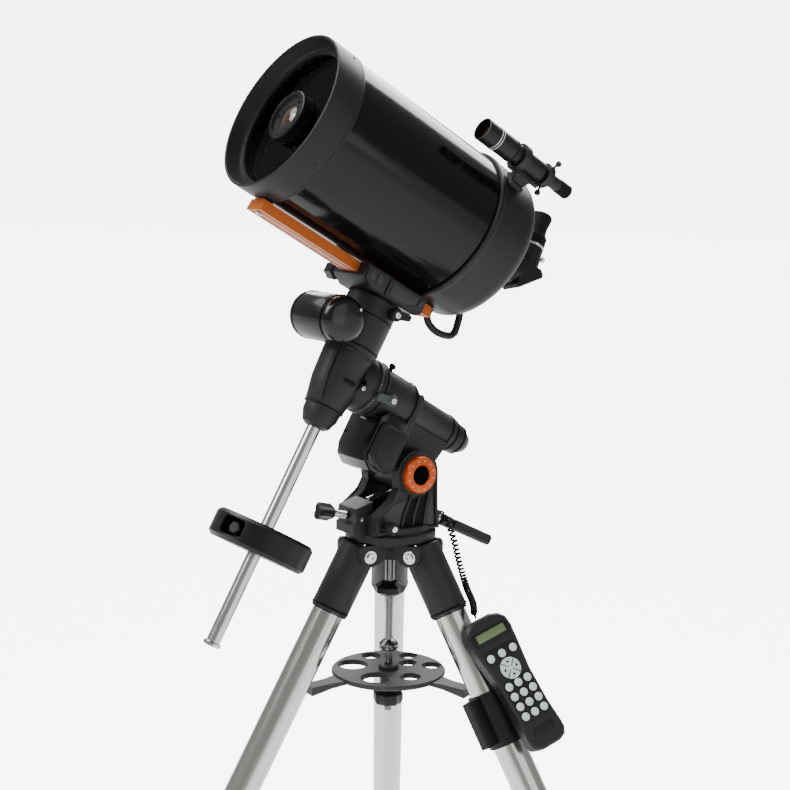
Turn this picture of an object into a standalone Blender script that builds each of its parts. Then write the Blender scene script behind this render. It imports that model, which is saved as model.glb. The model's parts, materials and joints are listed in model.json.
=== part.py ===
"""Eight-inch Schmidt-Cassegrain telescope on a German equatorial mount and a three-legged tripod.

The azimuth axis stands at AZIMUTH_AXIS, the meridian is the X-Z plane and the pole lies towards -X.
Three frames carry the parts: the ground frame, one frame for each leg (origin on the fold pivot, +Z up the
leg, +X outward) and the polar frame (origin where the two mount axes cross, +X to the pole, +Z along the
declination axis to the tube, +Y to the side of the motor controls). The tube frame is the polar frame moved
up to the optical axis. Lengths are in millimetres and are scaled once, as each mesh is made.
"""

import math

import bmesh
import bpy
from mathutils import Matrix, Vector

MM = 0.001

# Ground frame.
AZIMUTH_AXIS = (98.0, 18.4)
HEAD_TOP = 775.0
TRAY_TOP = 575.0
LATITUDE = math.radians(29.3)
AXES_CROSS = (-89.0, 0.0, 1021.0)
ALTITUDE_AXIS = (13.0, 873.0)
ALTITUDE_BOSS = 30.0

# Tripod.
LEG_ANGLES = {"left": 175.6, "rear": 55.6, "right": 295.6}
LEG_SPLAY = math.radians(29.2)
PIVOT_RADIUS = 52.8
PIVOT_HEIGHT = 760.0
LEG_TUBE = 23.1
LEG_BORE = 20.6
LEG_TUBE_END = 790.0
EXTENSION = 20.0
ROD = 5.5

# Mount.
RA_FRONT = -41.0
RA_BACK = -212.0
DEC_BODY = 38.5
SADDLE_BOTTOM = 115.4
BAR_BOTTOM = 129.8
BAR_TOP = 144.8
SHAFT = 10.0
SHAFT_END = 410.0
WEIGHT = 72.0
WEIGHT_TOP = 239.4
WEIGHT_BOTTOM = 279.3
WEIGHT_KNOB_ANGLE = math.radians(20.0)

# Optical tube.
TUBE_AXIS = 263.8
TUBE = 113.0
TUBE_WALL = 1.8
TUBE_FRONT = 222.0
TUBE_BACK = -58.0
CELL_FRONT = 261.6
CELL_RING = 48.0
DIAGONAL_TILT = math.radians(12.0)
FINDER_TURN = math.radians(46.6)
FINDER_HEIGHT = 155.6

# Hand controller, in the frame of the right leg.
HANDSET_TURN = math.radians(-36.7)
HANDSET_LEAN = math.radians(-6.0)
HANDSET_ROLL = math.radians(3.3)
HANDSET_SEAT = (62.0, 26.1, -217.0)
HANDSET_THICK = 27.0
CORD = 5.0
CORD_PATH = (
    (68.2, -20.0, 805.0),
    (74.0, -20.2, 804.2),
    (80.0, -22.0, 799.0),
    (85.0, -25.0, 789.0),
    (88.0, -30.0, 776.0),
    (89.0, -37.0, 762.0),
    (87.5, -48.0, 743.0),
    (85.5, -63.0, 720.0),
    (80.0, -82.0, 703.0),
    (73.0, -104.0, 691.5),
    (65.5, -117.0, 687.5),
    (59.5, -126.0, 684.0),
    (56.0, -131.5, 680.5),
    (56.5, -135.5, 676.5),
)


def clear_scene():
    for obj in list(bpy.data.objects):
        bpy.data.objects.remove(obj, do_unlink=True)


def make_material(name, colour, metallic, roughness):
    material = bpy.data.materials.new(name)
    material.use_nodes = True
    shader = material.node_tree.nodes["Principled BSDF"]
    shader.inputs["Base Color"].default_value = (*colour, 1.0)
    shader.inputs["Metallic"].default_value = metallic
    shader.inputs["Roughness"].default_value = roughness
    material.diffuse_color = (*colour, 1.0)
    return material


def frame(name, parent=None, location=(0.0, 0.0, 0.0), rotation=(0.0, 0.0, 0.0)):
    """An empty that carries parts."""
    obj = bpy.data.objects.new(name, None)
    obj.empty_display_size = 0.05
    obj.parent = parent
    obj.location = Vector(location) * MM
    obj.rotation_euler = rotation
    bpy.context.scene.collection.objects.link(obj)
    return obj


def shade(mesh, angle=32.0):
    for polygon in mesh.polygons:
        polygon.use_smooth = True
    mesh.set_sharp_from_angle(angle=math.radians(angle))


def part(name, shape, material, parent=None, origin=(0.0, 0.0, 0.0), rotation=(0.0, 0.0, 0.0)):
    """One object from a bmesh drawn in the parent's frame, with its own origin at the point given."""
    bmesh.ops.translate(shape, verts=shape.verts, vec=-Vector(origin))
    bmesh.ops.scale(shape, verts=shape.verts, vec=(MM, MM, MM))
    bmesh.ops.recalc_face_normals(shape, faces=shape.faces)
    mesh = bpy.data.meshes.new(name)
    shape.to_mesh(mesh)
    shape.free()
    mesh.materials.append(material)
    shade(mesh)
    obj = bpy.data.objects.new(name, mesh)
    obj.parent = parent
    obj.location = Vector(origin) * MM
    obj.rotation_euler = rotation
    bpy.context.scene.collection.objects.link(obj)
    return obj


def turned(profile, axis="Z", segments=20, centre=(0.0, 0.0, 0.0), hollow=False, lobes=(0, 0.0, 0.0)):
    """A turned shape. The profile lists (radius, height). A hollow one is a closed loop off the axis.

    lobes holds a count, a depth and the radius from which that fluting applies.
    """
    shape = bmesh.new()
    count, depth, limit = lobes
    centre = Vector(centre)
    rings = []
    for radius, height in profile:
        ring = []
        steps = 1 if radius == 0.0 else segments
        for step in range(steps):
            turn = 2.0 * math.pi * step / steps
            reach = radius
            if count and radius > limit:
                reach -= depth * (0.5 - 0.5 * math.cos(count * turn))
            across = reach * math.cos(turn)
            along = reach * math.sin(turn)
            if axis == "X":
                point = Vector((height, across, along))
            elif axis == "Y":
                point = Vector((along, height, across))
            else:
                point = Vector((across, along, height))
            ring.append(shape.verts.new(centre + point))
        rings.append(ring)
    pairs = list(zip(rings, rings[1:]))
    if hollow:
        pairs.append((rings[-1], rings[0]))
    for low, high in pairs:
        for step in range(segments):
            after = (step + 1) % segments
            corners = [low[step % len(low)], low[after % len(low)]]
            corners += [high[after % len(high)], high[step % len(high)]]
            corners = list(dict.fromkeys(corners))
            if len(corners) > 2:
                shape.faces.new(corners)
    if not hollow:
        for ring in (rings[0], rings[-1]):
            if len(ring) > 1:
                shape.faces.new(ring)
    return shape


def extruded(outline, low, high, axis="Z"):
    """A prism. The outline lies in the plane across the axis: Y-Z for X, X-Z for Y and X-Y for Z."""
    shape = bmesh.new()
    ends = []
    for height in (low, high):
        ring = []
        for first, second in outline:
            if axis == "X":
                point = (height, first, second)
            elif axis == "Y":
                point = (first, height, second)
            else:
                point = (first, second, height)
            ring.append(shape.verts.new(point))
        ends.append(ring)
    total = len(outline)
    for step in range(total):
        after = (step + 1) % total
        shape.faces.new((ends[0][step], ends[0][after], ends[1][after], ends[1][step]))
    shape.faces.new(ends[0])
    shape.faces.new(ends[1])
    return shape


def block(low, high):
    outline = ((low[0], low[1]), (high[0], low[1]), (high[0], high[1]), (low[0], high[1]))
    return extruded(outline, low[2], high[2])


def placed(shape, matrix):
    bmesh.ops.transform(shape, matrix=matrix, verts=shape.verts)
    return shape


def bevelled(shape, width, segments=1, angle=50.0):
    """Rounds the edges that turn by more than the angle."""
    bmesh.ops.recalc_face_normals(shape, faces=shape.faces)
    shape.normal_update()
    edges = [e for e in shape.edges if e.calc_face_angle(0.0) > math.radians(angle)]
    bmesh.ops.bevel(shape, geom=edges, offset=width, segments=segments, profile=0.5, affect="EDGES")
    return shape


def gathered(shapes):
    """Several separate shapes as one mesh, for use as one tool."""
    whole = bmesh.new()
    for shape in shapes:
        spare = bpy.data.meshes.new("spare")
        bmesh.ops.recalc_face_normals(shape, faces=shape.faces)
        shape.to_mesh(spare)
        whole.from_mesh(spare)
        shape.free()
        bpy.data.meshes.remove(spare)
    return whole


def combine(obj, shape, operation):
    """Applies a Boolean with a shape drawn in the parent's frame."""
    tool = part("tool", shape, obj.data.materials[0], obj.parent, tuple(obj.location / MM))
    tool.rotation_euler = obj.rotation_euler
    modifier = obj.modifiers.new("boolean", "BOOLEAN")
    modifier.operation = operation
    modifier.solver = "EXACT"
    modifier.object = tool
    bpy.context.view_layer.update()
    graph = bpy.context.evaluated_depsgraph_get()
    result = bpy.data.meshes.new_from_object(obj.evaluated_get(graph))
    obj.modifiers.remove(modifier)
    name = obj.data.name
    old = obj.data
    obj.data = result
    bpy.data.meshes.remove(old)
    result.name = name
    bpy.data.objects.remove(tool, do_unlink=True)
    shade(result)
    return obj


def join(obj, *shapes):
    for shape in shapes:
        combine(obj, shape, "UNION")
    return obj


def cut(obj, *shapes):
    for shape in shapes:
        combine(obj, shape, "DIFFERENCE")
    return obj


def swept(name, points, radius, material, parent=None, resolution=3):
    """A round bar along a route."""
    curve = bpy.data.curves.new(name, "CURVE")
    curve.dimensions = "3D"
    curve.bevel_depth = radius * MM
    curve.bevel_resolution = resolution
    curve.use_fill_caps = True
    spline = curve.splines.new("POLY")
    spline.points.add(len(points) - 1)
    for target, point in zip(spline.points, points):
        target.co = (*(Vector(point) * MM), 1.0)
    curve.materials.append(material)
    obj = bpy.data.objects.new(name, curve)
    obj.parent = parent
    bpy.context.scene.collection.objects.link(obj)
    return obj


def arc(centre, radius, start, end, steps):
    """Points of an arc, with its angles in degrees."""
    points = []
    for step in range(steps + 1):
        turn = math.radians(start + (end - start) * step / steps)
        points.append((centre[0] + radius * math.cos(turn), centre[1] + radius * math.sin(turn)))
    return points


clear_scene()

BLACK_GLOSS = make_material("tube_gloss_black", (0.012, 0.012, 0.014), 0.0, 0.12)
BLACK_SATIN = make_material("cast_satin_black", (0.028, 0.029, 0.032), 0.0, 0.42)
CHARCOAL = make_material("cell_charcoal", (0.042, 0.044, 0.048), 0.0, 0.36)
BLACK_PLASTIC = make_material("plastic_black", (0.018, 0.018, 0.019), 0.0, 0.35)
GREY_PLASTIC = make_material("plastic_dark_grey", (0.055, 0.057, 0.06), 0.0, 0.45)
RUBBER = make_material("rubber_black", (0.014, 0.014, 0.014), 0.0, 0.7)
KEYS = make_material("keys_pale_grey", (0.62, 0.66, 0.68), 0.0, 0.45)
ORANGE = make_material("anodised_orange", (0.72, 0.20, 0.045), 0.75, 0.34)
STEEL = make_material("leg_steel", (0.62, 0.60, 0.56), 1.0, 0.24)
CHROME = make_material("chrome", (0.72, 0.72, 0.73), 1.0, 0.08)
TRAY_GREY = make_material("tray_grey", (0.25, 0.26, 0.27), 0.15, 0.42)
GLASS = make_material("corrector_glass", (0.03, 0.032, 0.036), 0.0, 0.04)
MIRROR = make_material("mirror", (0.8, 0.8, 0.82), 1.0, 0.03)

# ---------------------------------------------------------------- tripod
ground = frame("azimuth_frame", location=(*AZIMUTH_AXIS, 0.0))

head = part(
    "tripod_head",
    turned(
        (
            (7.8, 743.0),
            (18.0, 743.0),
            (18.0, 769.6),
            (52.0, 769.6),
            (52.0, HEAD_TOP - 0.3),
            (7.8, HEAD_TOP - 0.3),
        ),
        segments=24,
        hollow=True,
    ),
    BLACK_SATIN,
    ground,
)
EAR = ((27.0, 773.2), (64.0, 773.2), (68.0, 768.0), (68.0, 753.0))
EAR += ((61.0, 745.0), (50.0, 742.0), (40.0, 745.0), (27.0, 754.0))
for angle in LEG_ANGLES.values():
    for side in (-1.0, 1.0):
        ear = extruded(EAR, side * 28.6, side * 36.6, "Y")
        join(head, placed(ear, Matrix.Rotation(math.radians(angle), 4, "Z")))

legs = {}
for place, angle in LEG_ANGLES.items():
    turn = math.radians(angle)
    pivot = (PIVOT_RADIUS * math.cos(turn), PIVOT_RADIUS * math.sin(turn), PIVOT_HEIGHT)
    leg = frame(f"leg_frame_{place}", ground, pivot, (0.0, -LEG_SPLAY, turn))
    legs[place] = leg
    part(
        f"leg_socket_{place}",
        turned(
            (
                (0.0, -25.0),
                (23.5, -25.0),
                (23.5, -96.0),
                (27.0, -96.0),
                (27.8, -94.0),
                (27.8, 3.5),
                (25.8, 5.5),
                (0.0, 5.5),
            )
        ),
        BLACK_SATIN,
        leg,
    )
    part(
        f"leg_tube_{place}",
        turned(
            (
                (LEG_BORE, -LEG_TUBE_END),
                (LEG_TUBE, -LEG_TUBE_END),
                (LEG_TUBE, -26.0),
                (LEG_BORE, -26.0),
            ),
            hollow=True,
        ),
        STEEL,
        leg,
    )
    collar = part(
        f"leg_collar_{place}",
        turned(
            (
                (20.6, -802.0),
                (27.0, -802.0),
                (29.0, -799.0),
                (29.0, -758.0),
                (27.0, -755.0),
                (23.5, -755.0),
                (23.5, -790.5),
                (20.6, -790.5),
            ),
            hollow=True,
        ),
        BLACK_PLASTIC,
        leg,
    )
    join(collar, turned(((0.0, 25.0), (11.0, 25.0), (11.0, 38.0), (0.0, 38.0)), "X", 16, (0.0, 0.0, -774.0)))
    cut(collar, turned(((0.0, 20.0), (4.2, 20.0), (4.2, 40.0), (0.0, 40.0)), "X", 12, (0.0, 0.0, -774.0)))
    part(
        f"leg_knob_{place}",
        turned(
            (
                (0.0, 24.5),
                (3.8, 24.5),
                (3.8, 38.4),
                (9.0, 38.4),
                (16.0, 42.0),
                (17.0, 46.0),
                (17.0, 54.0),
                (14.0, 57.0),
                (0.0, 57.0),
            ),
            "X",
            20,
            (0.0, 0.0, -774.0),
            lobes=(5, 4.5, 10.0),
        ),
        BLACK_PLASTIC,
        leg,
        (38.0, 0.0, -774.0),
    )
    foot = part(
        f"leg_extension_{place}",
        turned(
            (
                (0.0, -832.0),
                (17.4, -832.0),
                (17.4, -330.0),
                (EXTENSION, -330.0),
                (EXTENSION, -834.0),
                (23.0, -836.0),
                (23.0, -850.0),
                (17.0, -888.0),
                (0.0, -888.0),
            )
        ),
        RUBBER,
        leg,
    )
    floor = Matrix.Rotation(LEG_SPLAY, 4, "Y") @ Matrix.Translation((0.0, 0.0, -PIVOT_HEIGHT - 60.0))
    slab = block((300.0, -60.0, -60.0), (540.0, 60.0, 60.0))
    cut(foot, placed(slab, floor))

part(
    "centre_rod",
    turned(
        (
            (0.0, 512.0),
            (ROD, 512.0),
            (ROD, 602.0),
            (12.0, 604.0),
            (14.5, 608.0),
            (14.5, 613.0),
            (10.0, 618.0),
            (ROD, 620.0),
            (ROD, 708.0),
            (7.0, 709.0),
            (7.0, 769.0),
            (0.0, 769.0),
        ),
        segments=16,
    ),
    CHROME,
    ground,
)
part(
    "mount_lock_knob",
    turned(
        (
            (6.0, 689.0),
            (16.0, 689.0),
            (21.5, 692.0),
            (22.0, 700.0),
            (17.0, 704.0),
            (12.0, 707.0),
            (6.0, 707.0),
        ),
        segments=32,
        hollow=True,
        lobes=(8, 2.6, 14.0),
    ),
    BLACK_PLASTIC,
    ground,
    (0.0, 0.0, 698.0),
)
TRAY = 84.0
ARM_SECTIONS = ((70.0, 19.0, 568.6, 573.6), (100.0, 12.5, 563.0, 571.0), (131.4, 11.5, 556.0, 569.0))
TRAY_DISC = ((0.0, 568.0), (TRAY - 1.5, 568.0), (TRAY, 570.0))
TRAY_DISC += ((TRAY, TRAY_TOP - 1.5), (TRAY - 1.5, TRAY_TOP), (0.0, TRAY_TOP))
tray = part("accessory_tray", turned(TRAY_DISC, segments=40), TRAY_GREY, ground)
for angle in LEG_ANGLES.values():
    arm = bmesh.new()
    corners = []
    for reach, half, low, high in ARM_SECTIONS:
        section = ((-half, low), (half, low), (half, high), (-half, high))
        ring = [arm.verts.new((reach, y, z)) for y, z in section]
        corners.append(ring)
    for near, far in zip(corners, corners[1:]):
        for step in range(4):
            after = (step + 1) % 4
            arm.faces.new((near[step], near[after], far[after], far[step]))
    arm.faces.new(corners[0])
    arm.faces.new(corners[-1])
    join(tray, placed(arm, Matrix.Rotation(math.radians(angle), 4, "Z")))
join(tray, turned(((0.0, 572.0), (15.0, 572.0), (15.0, 580.0), (13.0, 582.0), (0.0, 582.0)), segments=18))
HOLES = (
    (-36.0, 41.0, 22.0),
    (-39.0, -28.0, 23.0),
    (5.0, -50.0, 15.0),
    (61.0, -24.0, 14.5),
    (38.0, 4.0, 13.5),
    (58.0, 32.0, 13.5),
    (10.0, 61.0, 14.5),
    (0.0, 0.0, 6.2),
)
holes = [
    turned(((0.0, 560.0), (r, 560.0), (r, 590.0), (0.0, 590.0)), segments=14, centre=(x, y, 0.0))
    for x, y, r in HOLES
]
cut(tray, gathered(holes))
part(
    "tray_knob",
    turned(
        (
            (6.0, 521.0),
            (15.0, 521.0),
            (20.0, 523.0),
            (22.5, 528.0),
            (22.5, 538.0),
            (17.0, 544.0),
            (12.5, 546.0),
            (12.5, 567.5),
            (6.0, 567.5),
        ),
        segments=32,
        hollow=True,
        lobes=(8, 2.6, 14.0),
    ),
    BLACK_PLASTIC,
    ground,
    (0.0, 0.0, 535.0),
)

# ---------------------------------------------------------------- mount base
AX, AZ = ALTITUDE_AXIS
base = part(
    "mount_base",
    turned(
        (
            (0.0, HEAD_TOP + 0.2),
            (64.0, HEAD_TOP + 0.2),
            (66.0, 777.0),
            (66.0, 786.0),
            (64.0, 788.0),
            (59.0, 789.0),
            (58.0, 798.0),
            (0.0, 798.0),
        ),
        segments=40,
    ),
    BLACK_SATIN,
    ground,
)
NOSE = ((-79.0, 789.5), (-79.0, 803.0), (-75.0, 806.0), (-75.0, 827.0), (-46.0, 835.0), (-46.0, 783.0))
NOSE += ((-64.0, 783.0),)
join(base, extruded(NOSE, -23.0, 23.0, "Y"))
plate = [(-57.0, 790.0), (-57.0, 817.0), (-28.0, 838.0), (-19.0, 855.0)]
plate += arc((AX, AZ), 35.0, 168.0, 0.0, 7)
plate += [(49.0, 845.0), (51.0, 812.0), (54.0, 797.0), (54.0, 790.0)]
for side in (-1.0, 1.0):
    join(base, extruded(plate, side * 31.0, side * 46.0, "Y"))
join(base, block((-57.0, -31.5, 790.0), (-48.0, 31.5, 817.0)))
REAR_BLOCK = ((48.0, 790.0), (48.0, 816.0), (54.0, 818.0), (64.0, 812.0), (64.0, 790.0))
join(base, extruded(REAR_BLOCK, -31.5, 31.5, "Y"))
FRONT_SCREW = Vector((-0.974, 0.0, 0.225)).normalized()
REAR_SCREW = Vector((0.9, 0.0, -0.436)).normalized()
FRONT_SEAT = Vector((-76.0, 0.0, 815.0))
REAR_SEAT = Vector((66.0, 0.0, 801.0))


def along(direction, seat):
    """The matrix that takes +Z to the direction, from the seat."""
    return Matrix.Translation(seat) @ direction.to_track_quat("Z", "Y").to_matrix().to_4x4()


bore = ((0.0, -60.0), (5.8, -60.0), (5.8, 20.0), (0.0, 20.0))
cut(base, placed(turned(bore, segments=16), along(FRONT_SCREW, FRONT_SEAT)))
cut(base, placed(turned(bore, segments=16), along(REAR_SCREW, REAR_SEAT)))
part(
    "altitude_screw_front",
    placed(
        turned(
            (
                (0.0, -34.0),
                (5.0, -34.0),
                (5.0, 24.0),
                (9.0, 25.0),
                (14.0, 29.0),
                (14.0, 47.0),
                (11.0, 50.0),
                (0.0, 50.0),
            ),
            segments=18,
            lobes=(3, 5.0, 9.5),
        ),
        along(FRONT_SCREW, FRONT_SEAT),
    ),
    BLACK_PLASTIC,
    ground,
    tuple(FRONT_SEAT),
)
rear_screw = part(
    "altitude_screw_rear",
    placed(
        turned(((0.0, -14.0), (5.0, -14.0), (5.0, 24.0), (9.0, 26.0), (9.0, 46.0), (0.0, 46.0)), segments=16),
        along(REAR_SCREW, REAR_SEAT),
    ),
    BLACK_PLASTIC,
    ground,
    tuple(REAR_SEAT),
)
handle = bevelled(block((-11.5, -8.0, 44.0), (11.5, 8.0, 126.0)), 3.5)
join(rear_screw, placed(handle, along(REAR_SCREW, REAR_SEAT)))

for place, side in (("near", -1.0), ("far", 1.0)):
    cap = ((0.0, 46.4), (27.0, 46.4), (28.0, 48.0), (28.0, 53.0), (25.5, 57.5))
    cap += ((15.0, 58.5), (13.5, 56.0), (0.0, 56.0))
    part(
        f"altitude_cap_{place}",
        turned([(r, side * y) for r, y in cap], "Y", 20, (AX, 0.0, AZ)),
        ORANGE,
        ground,
        (AX, side * 46.4, AZ),
    )
    knob = ((0.0, 46.4), (4.0, 46.4), (4.0, 53.0), (8.5, 54.0))
    knob += ((9.5, 57.0), (9.5, 68.0), (7.5, 70.0), (0.0, 70.0))
    part(
        f"azimuth_knob_{place}",
        turned([(r, side * y) for r, y in knob], "Y", 24, (-40.0, 0.0, 803.0), lobes=(6, 1.6, 6.0)),
        BLACK_PLASTIC,
        ground,
        (-40.0, side * 46.4, 803.0),
    )

# ---------------------------------------------------------------- polar axis
polar = frame("polar_frame", ground, AXES_CROSS, (0.0, -LATITUDE, math.pi))
offset = Vector((AX - AXES_CROSS[0], 0.0, AZ - AXES_CROSS[2]))
to_pole = Vector((-math.cos(LATITUDE), 0.0, math.sin(LATITUDE)))
to_tube = Vector((math.sin(LATITUDE), 0.0, math.cos(LATITUDE)))
BOSS = (offset.dot(to_pole), 0.0, offset.dot(to_tube))

ra = part(
    "ra_housing",
    turned(
        (
            (0.0, RA_BACK),
            (26.5, RA_BACK),
            (28.5, -136.0),
            (37.5, -119.0),
            (38.5, -62.0),
            (41.5, -58.0),
            (41.5, RA_FRONT - 2.0),
            (39.5, RA_FRONT),
            (0.0, RA_FRONT),
        ),
        "X",
        24,
    ),
    BLACK_SATIN,
    polar,
    BOSS,
)
join(
    ra,
    extruded(((-128.0, -15.0), (-204.0, -15.0), (-190.0, -78.0), (-134.0, -78.0)), -26.0, 26.0, "Y"),
    turned(((0.0, -30.4), (ALTITUDE_BOSS, -30.4), (ALTITUDE_BOSS, 30.4), (0.0, 30.4)), "Y", 24, BOSS),
)
MOTOR_BOX = ((-119.0, -92.0), (-119.0, -20.0), (-78.0, -20.0), (-70.0, -30.0), (-70.0, -82.0))
MOTOR_BOX += ((-76.0, -98.0), (-90.0, -107.0), (-106.0, -106.0))
motor_shell = bevelled(extruded(MOTOR_BOX, -40.0, 40.0, "Y"), 6.0, 2, 70.0)
motor = part("ra_motor_cover", motor_shell, BLACK_PLASTIC, polar)
cut(motor, turned(((0.0, -130.0), (41.0, -130.0), (41.0, -50.0), (0.0, -50.0)), "X", 24))
SIDE_COVER = ((-118.0, -34.0), (-76.0, -35.0), (-72.0, -41.0), (-72.0, -88.0), (-78.0, -96.0))
SIDE_COVER += ((-100.0, -103.0), (-113.0, -100.0), (-118.0, -92.0))
part("ra_side_cover", bevelled(extruded(SIDE_COVER, 40.4, 53.0, "Y"), 3.0, 1, 60.0), GREY_PLASTIC, polar)
part(
    "polar_scope_cap",
    turned(
        (
            (0.0, -251.0),
            (9.0, -251.0),
            (14.0, -248.0),
            (21.5, -234.0),
            (23.5, -222.0),
            (24.5, RA_BACK - 0.4),
            (0.0, RA_BACK - 0.4),
        ),
        "X",
        24,
    ),
    BLACK_PLASTIC,
    polar,
)
LEVER_AT = (-69.0, 0.0, -6.0)
lever = part(
    "ra_lock_lever",
    turned(((0.0, 39.0), (8.5, 39.0), (9.0, 41.0), (9.0, 48.0), (7.5, 50.0), (0.0, 50.0)), "Y", 16, LEVER_AT),
    GREY_PLASTIC,
    polar,
    (LEVER_AT[0], 39.0, LEVER_AT[2]),
)
ARM = ((-72.0, 0.5), (-46.0, -4.0), (-43.2, -7.5), (-43.2, -13.0), (-47.0, -16.0), (-72.0, -12.5))
join(lever, bevelled(extruded(ARM, 42.6, 49.0, "Y"), 1.2))

# ---------------------------------------------------------------- declination axis
dec = part(
    "dec_housing",
    turned(
        (
            (0.0, -86.0),
            (14.0, -86.0),
            (20.0, -82.0),
            (26.0, -68.0),
            (26.5, -58.0),
            (28.5, -55.5),
            (35.0, -18.0),
            (37.5, 34.0),
            (DEC_BODY, 40.0),
            (DEC_BODY, 109.0),
            (36.5, SADDLE_BOTTOM - 0.4),
            (0.0, SADDLE_BOTTOM - 0.4),
        ),
        segments=24,
    ),
    BLACK_SATIN,
    polar,
)
join(dec, turned(((0.0, -40.6), (39.5, -40.6), (39.5, -30.0), (34.0, -20.0), (0.0, -20.0)), "X", 24))
barrel = part(
    "dec_motor_cover",
    turned(
        (
            (0.0, -52.0),
            (20.0, -52.0),
            (28.5, -49.0),
            (33.5, -41.0),
            (34.0, -34.0),
            (34.0, 34.0),
            (32.5, 37.0),
            (32.5, 46.0),
            (29.0, 53.0),
            (21.0, 57.5),
            (0.0, 58.5),
        ),
        "Y",
        24,
        (60.0, 0.0, 56.0),
    ),
    BLACK_PLASTIC,
    polar,
)
cut(barrel, turned(((0.0, -20.0), (39.0, -20.0), (39.0, 120.0), (0.0, 120.0)), segments=28))
DEC_LEVER_AT = (-14.0, 0.0, 101.0)
lever = part(
    "dec_lock_lever",
    turned(((0.0, 39.0), (9.0, 39.0), (9.5, 41.0), (9.5, 49.0), (8.0, 51.0), (0.0, 51.0)), "Y", 16, DEC_LEVER_AT),
    BLACK_PLASTIC,
    polar,
    (DEC_LEVER_AT[0], 39.0, DEC_LEVER_AT[2]),
)
ARM = ((-13.0, 108.5), (-32.0, 111.5), (-38.0, 110.5), (-38.5, 103.5), (-34.0, 101.0), (-13.0, 93.5))
join(lever, bevelled(extruded(ARM, 43.0, 50.0, "Y"), 1.2))

part(
    "counterweight_shaft",
    turned(((0.0, -SHAFT_END), (SHAFT, -SHAFT_END), (SHAFT, -86.4), (0.0, -86.4)), segments=18),
    CHROME,
    polar,
)
part(
    "shaft_end_stop",
    turned(
        (
            (0.0, -SHAFT_END - 7.0),
            (9.0, -SHAFT_END - 7.0),
            (13.0, -SHAFT_END - 5.5),
            (13.0, -SHAFT_END - 1.5),
            (12.0, -SHAFT_END - 0.3),
            (0.0, -SHAFT_END - 0.3),
        ),
        segments=18,
    ),
    CHROME,
    polar,
)
weight = part(
    "counterweight",
    turned(
        (
            (10.6, -WEIGHT_BOTTOM),
            (WEIGHT - 5.0, -WEIGHT_BOTTOM),
            (WEIGHT, -WEIGHT_BOTTOM + 5.0),
            (WEIGHT, -WEIGHT_TOP - 5.0),
            (WEIGHT - 5.0, -WEIGHT_TOP),
            (10.6, -WEIGHT_TOP),
        ),
        segments=40,
        hollow=True,
    ),
    BLACK_SATIN,
    polar,
)
MIDDLE = -0.5 * (WEIGHT_TOP + WEIGHT_BOTTOM)
spin = Matrix.Rotation(WEIGHT_KNOB_ANGLE, 4, "Z")
pocket = bevelled(block((44.0, -19.0, MIDDLE - 12.0), (80.0, 19.0, MIDDLE + 13.0)), 5.0, 2)
cut(weight, placed(pocket, spin))
knob = turned(
    ((0.0, 44.5), (4.0, 44.5), (4.0, 50.0), (9.0, 51.5), (10.0, 54.0), (10.0, 64.0), (8.0, 66.0), (0.0, 66.0)),
    "X",
    24,
    (0.0, 0.0, MIDDLE),
    lobes=(6, 1.6, 7.0),
)
seat = (44.5 * math.cos(WEIGHT_KNOB_ANGLE), 44.5 * math.sin(WEIGHT_KNOB_ANGLE), MIDDLE)
part("counterweight_knob", placed(knob, spin), BLACK_PLASTIC, polar, seat)

# ---------------------------------------------------------------- saddle
SADDLE_SIDE = ((-56.0, 122.0), (-44.0, SADDLE_BOTTOM), (40.0, SADDLE_BOTTOM), (57.0, 126.0))
SADDLE_SIDE += ((57.0, 144.6), (-56.0, 144.6))
saddle = part("saddle", extruded(SADDLE_SIDE, -39.0, 39.0, "Y"), BLACK_SATIN, polar, (0.0, 0.0, SADDLE_BOTTOM))
CHANNEL = ((-20.6, BAR_BOTTOM - 0.4), (20.6, BAR_BOTTOM - 0.4), (17.3, 146.0), (-17.3, 146.0))
cut(saddle, extruded(CHANNEL, -70.0, 70.0, "X"))
for place, x in (("front", 38.0), ("rear", -38.0)):
    cut(saddle, turned(((0.0, -42.0), (4.2, -42.0), (4.2, -28.0), (0.0, -28.0)), "Y", 12, (x, 0.0, 135.0)))
    part(
        f"saddle_knob_{place}",
        turned(
            (
                (0.0, -82.0),
                (10.5, -82.0),
                (13.0, -79.0),
                (14.0, -60.0),
                (10.0, -55.0),
                (6.0, -53.0),
                (4.0, -52.0),
                (4.0, -29.0),
                (0.0, -29.0),
            ),
            "Y",
            24,
            (x, 0.0, 135.0),
            lobes=(6, 2.2, 8.0),
        ),
        BLACK_PLASTIC,
        polar,
        (x, -39.0, 135.0),
    )

# ---------------------------------------------------------------- optical tube
optics = frame("optical_frame", polar, (0.0, 0.0, TUBE_AXIS))
LOW = BAR_BOTTOM - TUBE_AXIS
HIGH = BAR_TOP - TUBE_AXIS
bar = part(
    "dovetail_bar",
    extruded(((-20.0, LOW), (20.0, LOW), (17.0, HIGH), (-17.0, HIGH)), -85.0, 232.0, "X"),
    ORANGE,
    optics,
    (0.0, 0.0, LOW),
)
join(bar, block((214.0, -12.0, HIGH - 2.0), (231.0, 12.0, -116.7)))
join(bar, block((-84.0, -12.0, HIGH - 2.0), (-64.0, 12.0, -116.7)))
BACK = CELL_FRONT - CELL_RING
part(
    "front_cell",
    turned(
        (
            (TUBE + 0.3, BACK),
            (115.2, BACK),
            (116.0, BACK + 1.0),
            (116.0, CELL_FRONT - 2.0),
            (114.5, CELL_FRONT),
            (112.0, CELL_FRONT),
            (105.5, 240.0),
            (101.6, 239.0),
            (101.6, 236.9),
            (103.8, 236.9),
            (103.8, TUBE_FRONT + 0.3),
            (TUBE + 0.3, TUBE_FRONT + 0.3),
        ),
        "X",
        40,
        hollow=True,
    ),
    CHARCOAL,
    optics,
)
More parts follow.
